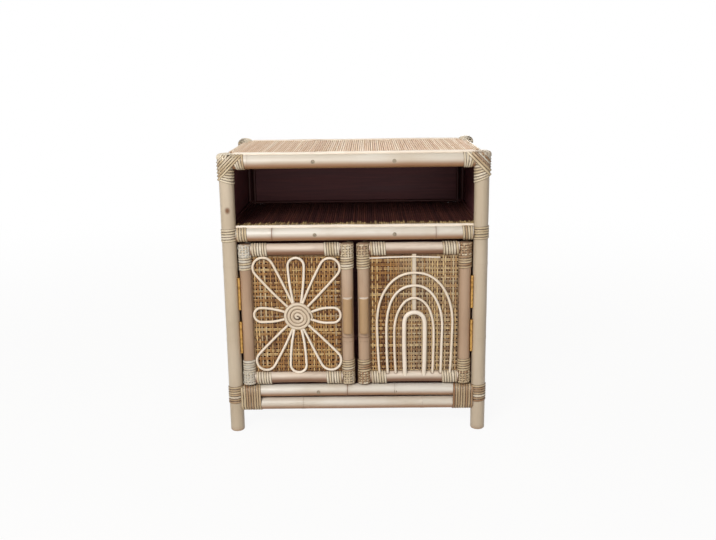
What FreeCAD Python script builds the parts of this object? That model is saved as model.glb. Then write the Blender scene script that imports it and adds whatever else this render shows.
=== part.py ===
"""Rattan side table: an open shelf above a cupboard with a pair of inset doors.

Millimetres, +Z up, front towards -Y. The origin is on the floor, under the centre of the outer box.
"""
import FreeCAD
import Part
import functools
import math
import os

V = FreeCAD.Vector
X = V(1, 0, 0)
Y = V(0, 1, 0)
Z = V(0, 0, 1)

# Overall sizes: over the posts, and up to the top of each edge trim or rail
WIDTH = 550.0
DEPTH = 340.0
HEIGHT = 600.0
SHELF_HEIGHT = 450.0
BASE_HEIGHT = 101.5

# Frame poles
POST_D = 30.0
POST_HEAD_DROP = 5.0
POST_ROUNDING = 4.0
TOP_RAIL_D = 29.0
SHELF_RAIL_D = 28.0
BASE_RAIL_D = 26.0
SIDE_RAIL_D = 26.0
BASE_RAIL_GAP = 2.5
BATTEN_D = 20.0
BATTEN_SPACING = 164.0
TRIM_D = 7.0
TRIM_SEAT = 2.0

# Boards, strip mats and woven skins
DECK_BOARD = 4.5
DECK_MAT = 3.0
MAT_BUNDLE = 23.0
MAT_GROOVE = 1.6
MAT_GROOVE_DEPTH = 1.4
WALL_BOARD = 6.0
WALL_WEAVE = 3.0
WALL_WEAVE_OFFSET = 3.0
WEAVE_ROW = 9.1
WEAVE_RELIEF = 1.4

# Doors
HINGE_GAP = 4.0
MEETING_GAP = 9.0
DOOR_TOP_GAP = 6.0
DOOR_BOTTOM_GAP = 4.5
DOOR_POLE_D = 25.0
DOOR_POLE_ROUNDING = 3.0
PANEL_THICKNESS = 3.5
PANEL_FRONT = 4.0
PULL_R = 10.0
PULL_LENGTH = 78.0
PULL_ROUNDING = 2.0

# Butt hinges
HINGE_LENGTH = 69.0
HINGE_SPACING = 95.0
HINGE_KNUCKLES = 5
KNUCKLE_R = 3.0
KNUCKLE_GAP = 0.2
KNUCKLE_CLEARANCE = 0.35
LEAF_THICKNESS = 1.2
LEAF_REACH = 11.0
PIN_R = 1.5
PIN_RUNNING_FIT = 0.05
PIN_HELD_FIT = 0.02
LEAF_SCREW_SPACING = 24.0
LEAF_SCREW_LENGTH = 14.0
LEAF_SCREW_R = 1.6
LEAF_SCREW_HEAD_R = 3.0

# Frame screws: through the posts into the rail ends, and through the rails into the battens
FRAME_SCREW_R = 1.6
FRAME_SCREW_HEAD_R = 3.2
FRAME_SCREW_HEAD = 2.0
FRAME_SCREW_SINK = 1.5
FRAME_SCREW_GRIP = 24.0
FRAME_SCREW_STAGGER = 4.0

# Magnet catches and their strikes
CATCH_WIDTH = 24.0
CATCH_DEPTH = 12.0
CATCH_RISE = 6.0
CATCH_FROM_STILE = 62.0
STRIKE_WIDTH = 20.0
STRIKE_HEIGHT = 9.0
STRIKE_THICKNESS = 1.5

# Binding strip and the length of pole that each winding covers
STRIP_WIDTH = 4.8
STRIP_THICKNESS = 1.5
STRIP_GAP = 0.6
POST_HEAD_BAND = 49.0
RAIL_BAND = 22.0
BASE_POST_BAND = 38.0
BASE_POST_BAND_GAP = 1.0
BASE_RAIL_BAND = 33.0
DOOR_STILE_BAND = 29.0
DOOR_RAIL_BAND = 27.0

# Flower of cane loops on the left door
FLOWER_DROP = 1.7
CANE_D = 5.0
PETAL_SIDE_R = 15.5
PETAL_UPRIGHT_R = 17.0
PETAL_CORNER_R = 21.0
PETAL_CORNER_ANGLE = 56.0
PETAL_EDGE_GAP = 1.0
PETAL_LEG_GAP = 1.0
SPIRAL_CANE_D = 6.0
SPIRAL_GAP = 0.6
SPIRAL_START_R = 6.9
SPIRAL_HALF_TURNS = 7

# Rainbow of cane arches on the right door
CORE_CANE_D = 8.0
ARCH_SIDE_GAP = 13.5
ARCH_TOP_GAP = 38.0
ARCH_FOOT_INSET = 4.5
ARCH_FOOT_DEPTH = 7.0
ARCH_SPRING = 0.55
ARCH_INNER_PLACE = 0.36
ARCH_MIDDLE_PLACE = 0.66
CORE_ARCH_HALF = 21.8
CORE_ARCH_DROP = 85.0
CORE_FOOT_INSET = 2.0
SPINE_WIDTH = 8.0
SPINE_THICKNESS = 1.2

# Clearances
SEAT = 0.2
WRAP_SEAT = 0.3
CANE_SEAT = 0.15
HOLE_FIT = 0.05
CATCH_GAP = 0.3
SEAM_ANGLE = 38.0
GAP_SAMPLES_PER_TURN = 48

# Derived radii and places
POST_R = POST_D / 2
DOOR_R = DOOR_POLE_D / 2
CANE_R = CANE_D / 2
TRIM_R = TRIM_D / 2
PITCH = STRIP_WIDTH + STRIP_GAP
WRAP = WRAP_SEAT + STRIP_THICKNESS
WRAP_SPACE = WRAP + WRAP_SEAT
POST_X = WIDTH / 2 - POST_R
AXIS_DEPTH = DEPTH - POST_D
FRONT_REACH = max(DOOR_R + PULL_R, POST_R + WRAP)
BACK_REACH = POST_R + WRAP
FRONT_Y = FRONT_REACH - (AXIS_DEPTH + FRONT_REACH + BACK_REACH) / 2
BACK_Y = FRONT_Y + AXIS_DEPTH
POST_TOP = HEIGHT - POST_HEAD_DROP
TOP_RAIL_TOP = HEIGHT - TRIM_D + TRIM_SEAT
SHELF_RAIL_TOP = SHELF_HEIGHT - TRIM_D + TRIM_SEAT
TOP_RAIL_Z = TOP_RAIL_TOP - TOP_RAIL_D / 2
SHELF_RAIL_Z = SHELF_RAIL_TOP - SHELF_RAIL_D / 2
BASE_RAIL_Z = BASE_HEIGHT - BASE_RAIL_D / 2
LOWER_RAIL_Z = BASE_RAIL_Z - BASE_RAIL_D - BASE_RAIL_GAP

# Derived door places: stile axes, rail axes and panel size
STILE_OFFSET = POST_R + HINGE_GAP + DOOR_R
HINGE_STILE_X = POST_X - STILE_OFFSET
MEETING_STILE_X = MEETING_GAP / 2 + DOOR_R
DOOR_X = (HINGE_STILE_X + MEETING_STILE_X) / 2
DOOR_BOTTOM = BASE_HEIGHT + DOOR_BOTTOM_GAP
DOOR_TOP = SHELF_RAIL_TOP - SHELF_RAIL_D - DOOR_TOP_GAP
DOOR_Z = (DOOR_BOTTOM + DOOR_TOP) / 2
DOOR_BOTTOM_RAIL_Z = DOOR_BOTTOM + DOOR_R
DOOR_TOP_RAIL_Z = DOOR_TOP - DOOR_R
STILE_HALF = (HINGE_STILE_X - MEETING_STILE_X) / 2
PANEL_HALF = STILE_HALF - DOOR_R
PANEL_BOTTOM = DOOR_BOTTOM + DOOR_POLE_D
PANEL_TOP = DOOR_TOP - DOOR_POLE_D
FLOWER_Z = DOOR_Z - FLOWER_DROP

# The hinge pin lies in the valley between post and stile, just clear of both
POST_TO_PIN = POST_R + KNUCKLE_R + KNUCKLE_CLEARANCE
STILE_TO_PIN = DOOR_R + KNUCKLE_R + KNUCKLE_CLEARANCE
PIN_OFFSET = (STILE_OFFSET**2 + POST_TO_PIN**2 - STILE_TO_PIN**2) / (2 * STILE_OFFSET)
PIN_FORWARD = math.sqrt(max(POST_TO_PIN**2 - PIN_OFFSET**2, 0.0))


def box(x0, x1, y0, y1, z0, z1):
    """Box between two opposite corners, given in any order."""
    low = V(min(x0, x1), min(y0, y1), min(z0, z1))
    high = V(max(x0, x1), max(y0, y1), max(z0, z1))
    size = high - low
    return Part.makeBox(size.x, size.y, size.z, low)


def rod(start, end, radius):
    """Cylinder between two points, with its seam turned away from the main directions."""
    run = end - start
    shape = Part.makeCylinder(radius, run.Length, start, run)
    shape.rotate(start, run, SEAM_ANGLE)
    return shape


def cut_away(shape, tools):
    """Cut a shape with each of the tools that comes near it."""
    for tool in tools:
        if tool.BoundBox.intersect(shape.BoundBox):
            shape = shape.cut(tool)
    return shape


def largest(shape):
    """The largest solid of a shape."""
    return max(shape.Solids, key=lambda solid: solid.Volume)


def rounded_rod(start, end, radius, rounding):
    """Cylinder between two points with both rims rounded."""
    shape = rod(start, end, radius)
    rims = [edge for edge in shape.Edges if isinstance(edge.Curve, Part.Circle)]
    return shape.makeFillet(min(rounding, radius / 2), rims)


def sweep(label, edges, profile, area, binormal=None):
    """Pipe shell of a closed profile along tangent edges; its volume is printed against area times length."""
    path = Part.Wire(edges)
    shell = Part.BRepOffsetAPI.MakePipeShell(path)
    if binormal:
        shell.setBiNormalMode(binormal)
    shell.add(profile, False, False)
    shell.build()
    shell.makeSolid()
    solid = shell.shape()
    share = solid.Volume / (area * path.Length)
    print(f"{label}: valid {solid.isValid()}, volume {share:.3f} of section times length")
    return solid


def cane(label, edges, radius):
    """Round cane bent along tangent edges."""
    start = edges[0].Vertexes[0].Point
    circle = Part.makeCircle(radius, start, edges[0].tangentAt(edges[0].FirstParameter))
    return sweep(label, edges, Part.Wire([circle]), math.pi * radius**2)


def least_gap(edges, turns, near_side, far_side):
    """Least distance between neighbouring turns of a path, from the side of one to the side of the next."""
    samples = GAP_SAMPLES_PER_TURN
    points = Part.Wire(edges).discretize(Number=samples * turns)
    gap = math.inf
    for index, point in enumerate(points):
        for other in points[index + samples // 2:index + samples * 3 // 2]:
            gap = min(gap, (other + far_side - point - near_side).Length)
    return gap


def half_turn(start, end, outward):
    """Half circle from start to end that bulges outward."""
    middle = (start + end) / 2 + outward * ((end - start).Length / 2)
    return Part.Arc(start, middle, end).toShape()


def straight(start, end):
    """Straight edge."""
    return Part.LineSegment(start, end).toShape()


def turns_over(length):
    """Whole turns of strip that cover a length of pole."""
    return max(2, round(length / PITCH))


@functools.lru_cache(maxsize=None)
def winding(pole_r, turns, span):
    """One unbroken strip wound round +Z, round one pole or, with a span along X, round two.

    Each half turn lies on a tilted half circle that climbs half a pitch and is level at both ends, and the
    straight runs between two poles are level.
    """
    middle_r = pole_r + WRAP_SEAT + STRIP_THICKNESS / 2
    edges = []
    for turn in range(turns):
        level = turn * PITCH
        first = V(span / 2, -middle_r, level)
        second = V(span / 2, middle_r, level + PITCH / 2)
        third = V(-span / 2, middle_r, level + PITCH / 2)
        fourth = V(-span / 2, -middle_r, level + PITCH)
        edges.append(half_turn(first, second, X))
        if span > 0:
            edges.append(straight(second, third))
        edges.append(half_turn(third, fourth, -X))
        if span > 0 and turn < turns - 1:
            edges.append(straight(fourth, first + Z * PITCH))
    start = V(span / 2, -middle_r, 0)
    across = Y * (STRIP_THICKNESS / 2)
    along = Z * (STRIP_WIDTH / 2)
    corners = [start - across - along, start + across - along, start + across + along, start - across + along]
    profile = Part.makePolygon(corners + corners[:1])
    gap = least_gap(edges, turns, along, -along)
    label = f"winding of {turns} turns on radius {pole_r:.1f}, least gap {gap:.2f} mm"
    return sweep(label, edges, profile, STRIP_WIDTH * STRIP_THICKNESS, Z)


class Bindings:
    """The strip windings of one node, with the space that each of them takes."""

    def __init__(self):
        self.strips = []
        self.spaces = []

    def wind(self, pole_r, edge, axis, length, hidden_side):
        """Wind a band whose first strip starts at edge and climbs along axis."""
        turns = turns_over(length)
        self._place(winding(pole_r, turns, 0.0), edge, axis, hidden_side)
        end = edge + axis * (turns * PITCH + STRIP_WIDTH + WRAP_SEAT)
        self.spaces.append(rod(edge - axis * WRAP_SEAT, end, pole_r + WRAP_SPACE))

    def wind_pair(self, pole_r, edge, axis, length, span):
        """Wind a band round two poles, one above the other, with edge midway between them."""
        turns = turns_over(length)
        self._place(winding(pole_r, turns, span), edge, axis, axis.cross(Z))
        start = edge - axis * WRAP_SEAT
        end = edge + axis * (turns * PITCH + STRIP_WIDTH + WRAP_SEAT)
        reach = pole_r + WRAP_SPACE
        upper = Z * (span / 2)
        self.spaces.append(rod(start + upper, end + upper, reach))
        self.spaces.append(rod(start - upper, end - upper, reach))
        low = edge - V(0, reach, span / 2)
        high = edge + V(0, reach, span / 2)
        self.spaces.append(box(start.x, end.x, low.y, high.y, low.z, high.z))

    def _place(self, shape, edge, axis, hidden_side):
        """Place a wound strip with its two ends on the hidden side."""
        back = hidden_side * -1
        strip = shape.copy()
        turn = FreeCAD.Rotation(back.cross(axis), back, axis, "ZXY")
        strip.Placement = FreeCAD.Placement(edge + axis * (STRIP_WIDTH / 2), turn)
        self.strips.append(strip)

    def compound(self, cutters=()):
        """All strips of the node, pierced where screws pass through them."""
        return Part.makeCompound([largest(cut_away(strip, cutters)) for strip in self.strips])


def screw(head, direction, length, shank_r, head_r, head_depth, grow=0.0, open_above=0.0):
    """Countersunk screw from the centre of its head; grown and opened above, it cuts its hole."""
    shank = Part.makeCylinder(shank_r + grow, length + grow, head, direction)
    cone = Part.makeCone(head_r + grow, shank_r + grow, head_depth, head, direction)
    shape = shank.fuse(cone)
    if open_above > 0:
        mouth = head - direction * open_above
        shape = shape.fuse(Part.makeCylinder(head_r + grow, open_above, mouth, direction))
    return shape.removeSplitter()


class Screws:
    """Screws of one kind, with the cutters for their holes."""

    def __init__(self, shank_r, head_r, head_depth):
        self.sizes = (shank_r, head_r, head_depth)
        self.solids = []
        self.cutters = []

    def drive(self, head, direction, length, open_above):
        """Add a screw whose head lies at a point."""
        self.solids.append(screw(head, direction, length, *self.sizes))
        self.cutters.append(screw(head, direction, length, *self.sizes, HOLE_FIT, open_above))


PARTS = {}
FRAME_SCREWS = Screws(FRAME_SCREW_R, FRAME_SCREW_HEAD_R, FRAME_SCREW_HEAD)


def rail_radius(level):
    """Radius of the front and back rails at a level."""
    return {"top": TOP_RAIL_D / 2, "shelf": SHELF_RAIL_D / 2, "base": BASE_RAIL_D / 2}[level]


def rail_height(level):
    """Axis height of the front and back rails at a level."""
    return {"top": TOP_RAIL_Z, "shelf": SHELF_RAIL_Z, "base": BASE_RAIL_Z}[level]


def board_top(level):
    """Top of the deck board, level with the tops of the front and back rails."""
    return rail_height(level) + rail_radius(level)


def side_rail_height(level):
    """Axis height of the side rails, whose tops are level with the deck board."""
    return board_top(level) - SIDE_RAIL_D / 2


LEVELS = ("top", "shelf", "base")
SIDES = {"left": -1, "right": 1}
ENDS = {"front": FRONT_Y, "back": BACK_Y}
RAIL_STOP = POST_R + WRAP_SPACE
RAIL_BAND_START = POST_R + WRAP_SPACE + WRAP_SEAT


def long_rail_places():
    """Name, axis place and radius of every rail that runs from left to right."""
    for level in LEVELS:
        for end, y in ENDS.items():
            name = f"{level}_rail_{end}"
            if level == "base" and end == "front":
                name = "base_rail_front_upper"
            yield name, y, rail_height(level), rail_radius(level)
    yield "base_rail_front_lower", FRONT_Y, LOWER_RAIL_Z, rail_radius("base")


def build_frame_poles():
    """Posts and rails before their screw holes: the rails stop on the windings of the posts."""
    poles = {}
    stops = []
    for end, y in ENDS.items():
        for side, sign in SIDES.items():
            foot = V(sign * POST_X, y, 0)
            poles[f"post_{end}_{side}"] = rounded_rod(foot, foot + Z * POST_TOP, POST_R, POST_ROUNDING)
            stops.append(rod(foot, foot + Z * HEIGHT, RAIL_STOP))
    long_spaces = []
    for name, y, z, radius in long_rail_places():
        poles[name] = largest(cut_away(rod(V(-POST_X, y, z), V(POST_X, y, z), radius), stops))
        long_spaces.append(rod(V(-POST_X, y, z), V(POST_X, y, z), radius + SEAT))
    for level in LEVELS:
        for side, sign in SIDES.items():
            x = sign * POST_X
            z = side_rail_height(level)
            rail = rod(V(x, FRONT_Y, z), V(x, BACK_Y, z), SIDE_RAIL_D / 2)
            poles[f"{level}_rail_{side}"] = largest(cut_away(rail, stops + long_spaces))
    return poles


def drive_frame_screws():
    """Screws through each post into its rail ends, long rails above and side rails below the axis."""
    head_in = POST_R - FRAME_SCREW_SINK
    length = head_in + RAIL_STOP + FRAME_SCREW_GRIP
    opening = POST_R - head_in + WRAP_SEAT
    for _, y, z, _ in long_rail_places():
        for sign in SIDES.values():
            head = V(sign * (POST_X + head_in), y, z + FRAME_SCREW_STAGGER)
            FRAME_SCREWS.drive(head, X * -sign, length, opening)
    for level in LEVELS:
        for sign in SIDES.values():
            for y, inward in ((FRONT_Y, 1), (BACK_Y, -1)):
                head = V(sign * POST_X, y - inward * head_in, side_rail_height(level) - FRAME_SCREW_STAGGER)
                FRAME_SCREWS.drive(head, Y * inward, length, opening)


def drive_batten_screws():
    """Screws through the front and back rails into the battens of each deck."""
    for level in LEVELS:
        radius = rail_radius(level)
        head_in = radius - FRAME_SCREW_SINK
        length = head_in + radius + FRAME_SCREW_GRIP
        for sign in SIDES.values():
            for y, inward in ((FRONT_Y, 1), (BACK_Y, -1)):
                head = V(sign * BATTEN_SPACING / 2, y - inward * head_in, batten_height(level))
                FRAME_SCREWS.drive(head, Y * inward, length, FRAME_SCREW_SINK + WRAP_SEAT)


def batten_height(level):
    """Axis height of the battens, which carry the deck board."""
    return board_top(level) - DECK_BOARD - BATTEN_D / 2


def bind_frame():
    """Windings at the post heads, the shelf joints and the base joints."""
    groups = {level: Bindings() for level in LEVELS}
    shelf_band = SHELF_RAIL_D
    for end, y in ENDS.items():
        inside = Y if end == "front" else -Y
        for sign in SIDES.values():
            axis_foot = V(sign * POST_X, y, 0)
            head_turns = turns_over(POST_HEAD_BAND)
            head_start = POST_TOP - POST_ROUNDING - head_turns * PITCH - STRIP_WIDTH
            groups["top"].wind(POST_R, axis_foot + Z * head_start, Z, POST_HEAD_BAND, inside)
            shelf_start = SHELF_RAIL_Z - (turns_over(shelf_band) * PITCH + STRIP_WIDTH) / 2
            groups["shelf"].wind(POST_R, axis_foot + Z * shelf_start, Z, shelf_band, inside)
            base_band = BASE_POST_BAND if end == "front" else BASE_RAIL_D
            base_top = DOOR_BOTTOM - BASE_POST_BAND_GAP if end == "front" else BASE_HEIGHT
            base_start = base_top - turns_over(base_band) * PITCH - STRIP_WIDTH
            groups["base"].wind(POST_R, axis_foot + Z * base_start, Z, base_band, inside)
    for level in LEVELS:
        for end, y in ENDS.items():
            for sign in SIDES.values():
                edge = V(sign * (POST_X - RAIL_BAND_START), y, rail_height(level))
                radius = rail_radius(level)
                if level == "base" and end == "front":
                    span = BASE_RAIL_Z - LOWER_RAIL_Z
                    edge = edge - Z * (span / 2)
                    groups[level].wind_pair(radius, edge, X * -sign, BASE_RAIL_BAND, span)
                else:
                    inside = Y if end == "front" else -Y
                    groups[level].wind(radius, edge, X * -sign, RAIL_BAND, inside)
        for sign in SIDES.values():
            for y, inward in ((FRONT_Y, 1), (BACK_Y, -1)):
                edge = V(sign * POST_X, y + inward * RAIL_BAND_START, side_rail_height(level))
                groups[level].wind(SIDE_RAIL_D / 2, edge, Y * inward, RAIL_BAND, X * -sign)
    for level, group in groups.items():
        PARTS[f"bindings_{level}"] = group.compound(FRAME_SCREWS.cutters)
    return [space for group in groups.values() for space in group.spaces]


def pole_spaces(clearance):
    """Space of every frame pole, with a clearance all round."""
    spaces = []
    for y in ENDS.values():
        for sign in SIDES.values():
            spaces.append(rod(V(sign * POST_X, y, 0), V(sign * POST_X, y, HEIGHT), POST_R + clearance))
    for _, y, z, radius in long_rail_places():
        spaces.append(rod(V(-POST_X, y, z), V(POST_X, y, z), radius + clearance))
    for level in LEVELS:
        z = side_rail_height(level)
        for sign in SIDES.values():
            x = sign * POST_X
            spaces.append(rod(V(x, FRONT_Y, z), V(x, BACK_Y, z), SIDE_RAIL_D / 2 + clearance))
    return spaces


def strip_mat(half, front, back, bottom):
    """Deck mat with a groove between each two bundles of strips, and one bundle over the middle."""
    top = bottom + DECK_MAT
    grooves = []
    for index in range(math.ceil(half / MAT_BUNDLE)):
        for sign in SIDES.values():
            x = sign * (index + 0.5) * MAT_BUNDLE
            grooves.append(box(x - MAT_GROOVE / 2, x + MAT_GROOVE / 2, front - SEAT, back + SEAT,
                               top - MAT_GROOVE_DEPTH, top + SEAT))
    return box(-half, half, front, back, bottom, top).cut(grooves)


def build_decks(spaces):
    """Battens, boards, strip mats and edge trims of the three decks; the cupboard floor has no mat."""
    battens = []
    trims = []
    for level in LEVELS:
        radius = rail_radius(level)
        top = board_top(level)
        z = batten_height(level)
        long_spaces = [rod(V(-POST_X, y, rail_height(level)), V(POST_X, y, rail_height(level)), radius + SEAT)
                       for y in ENDS.values()]
        for sign in SIDES.values():
            x = sign * BATTEN_SPACING / 2
            batten = rod(V(x, FRONT_Y, z), V(x, BACK_Y, z), BATTEN_D / 2)
            battens.append(largest(cut_away(batten, long_spaces + FRAME_SCREWS.cutters)))
        name = "floor" if level == "base" else level
        front = FRONT_Y + TRIM_R + SEAT
        back = BACK_Y - (TRIM_R if level == "top" else WALL_BOARD / 2) - SEAT
        half = POST_X if level == "top" else POST_X + WALL_WEAVE_OFFSET - WALL_BOARD - SEAT
        board = box(-half, half, front, back, top - DECK_BOARD, top)
        PARTS[f"{name}_board"] = largest(cut_away(board, spaces))
        if level == "base":
            continue
        PARTS[f"{name}_mat"] = largest(cut_away(strip_mat(half, front, back, top), spaces))
        trim_z = top - TRIM_SEAT + TRIM_R
        for y in (FRONT_Y, BACK_Y) if level == "top" else (FRONT_Y,):
            trim = rod(V(-POST_X, y, trim_z), V(POST_X, y, trim_z), TRIM_R)
            trims.append(largest(cut_away(trim, spaces)))
    PARTS["deck_battens"] = Part.makeCompound(battens)
    PARTS["edge_trims"] = Part.makeCompound(trims)


def wall_pieces(sheet, spaces):
    """The two large pieces of a wall sheet, above and below the shelf rail."""
    pieces = sorted(cut_away(sheet, spaces).Solids, key=lambda solid: -solid.Volume)
    return Part.makeCompound(pieces[:2])


def woven_skin(inner_x, outer_x, bottom, top):
    """Wall sheet whose outer face has one crowned row for each pair of level strands."""
    rows = max(1, round((top - bottom) / WEAVE_ROW))
    row = Z * ((top - bottom) / rows)
    relief = X * math.copysign(WEAVE_RELIEF, outer_x - inner_x)
    first = V(inner_x, FRONT_Y, bottom)
    last = V(inner_x, FRONT_Y, top)
    valley = V(outer_x, FRONT_Y, bottom) - relief
    edges = [straight(first, valley)]
    for _ in range(rows):
        edges.append(Part.Arc(valley, valley + row / 2 + relief, valley + row).toShape())
        valley = valley + row
    edges += [straight(valley, last), straight(last, first)]
    return Part.Face(Part.Wire(edges)).extrude(Y * (BACK_Y - FRONT_Y))


def build_walls(spaces):
    """Dark wall boards at the sides and back, with a woven skin outside each side board."""
    bottom = BASE_RAIL_Z
    half = WALL_BOARD / 2
    back = box(-POST_X, POST_X, BACK_Y - half, BACK_Y + half, bottom, TOP_RAIL_Z)
    PARTS["back_board"] = wall_pieces(back, spaces)
    for side, sign in SIDES.items():
        skin_x = sign * (POST_X + WALL_WEAVE_OFFSET)
        inner_x = skin_x - sign * WALL_BOARD
        outer_x = skin_x + sign * WALL_WEAVE
        board = box(inner_x, skin_x, FRONT_Y, BACK_Y, bottom, TOP_RAIL_Z)
        weave = woven_skin(skin_x, outer_x, bottom, TOP_RAIL_Z)
        PARTS[f"side_board_{side}"] = wall_pieces(board, spaces)
        PARTS[f"side_weave_{side}"] = wall_pieces(weave, spaces)


class Hinges:
    """Both butt hinges of one door: leaves, pins, screws, and the flats cut for the leaves."""

    def __init__(self, sign):
        self.sign = sign
        self.pin = V(sign * (POST_X - PIN_OFFSET), FRONT_Y - PIN_FORWARD, 0)
        self.frame_leaves = []
        self.door_leaves = []
        self.pins = []
        self.post_flats = []
        self.stile_flats = []
        self.frame_screws = Screws(LEAF_SCREW_R, LEAF_SCREW_HEAD_R, LEAF_THICKNESS)
        self.door_screws = Screws(LEAF_SCREW_R, LEAF_SCREW_HEAD_R, LEAF_THICKNESS)
        for place in (-1, 1):
            self._add(DOOR_Z + place * HINGE_SPACING / 2 - HINGE_LENGTH / 2)

    def _add(self, bottom):
        """One hinge from its bottom height."""
        out = X * self.sign
        post_face = self.pin.x + self.sign * KNUCKLE_R
        stile_face = self.pin.x - self.sign * KNUCKLE_R
        self.pins.append(rod(self.pin + Z * bottom, self.pin + Z * (bottom + HINGE_LENGTH), PIN_R))
        for face, screws, leaves, first, fit, into in (
                (post_face, self.frame_screws, self.frame_leaves, 0, PIN_HELD_FIT, out),
                (stile_face, self.door_screws, self.door_leaves, 1, PIN_RUNNING_FIT, -out)):
            inner = V(face, FRONT_Y, bottom + HINGE_LENGTH / 2) - into * LEAF_THICKNESS
            for step in (-1, 0, 1):
                screws.drive(inner + Z * (step * LEAF_SCREW_SPACING), into, LEAF_SCREW_LENGTH, LEAF_THICKNESS)
            leaves.append(cut_away(self._leaf(bottom, face, into, first, fit), screws.cutters))
        low = bottom - HOLE_FIT
        high = bottom + HINGE_LENGTH + HOLE_FIT
        post_edge = self.sign * (POST_X - POST_D)
        stile_edge = self.sign * (HINGE_STILE_X + DOOR_POLE_D)
        self.post_flats.append(box(post_face, post_edge, FRONT_Y - POST_D, FRONT_Y + POST_D, low, high))
        self.stile_flats.append(box(stile_face, stile_edge, FRONT_Y - POST_D, FRONT_Y + POST_D, low, high))

    def _leaf(self, bottom, face, into, first, fit):
        """A leaf whose knuckles alternate with those of the other leaf, from knuckle number first."""
        length = (HINGE_LENGTH - (HINGE_KNUCKLES - 1) * KNUCKLE_GAP) / HINGE_KNUCKLES
        plate = box(face, face - into.x * LEAF_THICKNESS, self.pin.y, self.pin.y + LEAF_REACH,
                    bottom, bottom + HINGE_LENGTH)
        own = []
        others = []
        for index in range(HINGE_KNUCKLES):
            start = self.pin + Z * (bottom + index * (length + KNUCKLE_GAP))
            if index % 2 == first:
                own.append(rod(start, start + Z * length, KNUCKLE_R))
            else:
                others.append(rod(start - Z * KNUCKLE_GAP, start + Z * (length + KNUCKLE_GAP),
                                  KNUCKLE_R + KNUCKLE_GAP))
        bore_start = self.pin + Z * (bottom - KNUCKLE_GAP)
        bore = rod(bore_start, bore_start + Z * (HINGE_LENGTH + 2 * KNUCKLE_GAP), PIN_R + fit)
        return plate.cut(others).fuse(own).cut(bore).removeSplitter()


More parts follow.
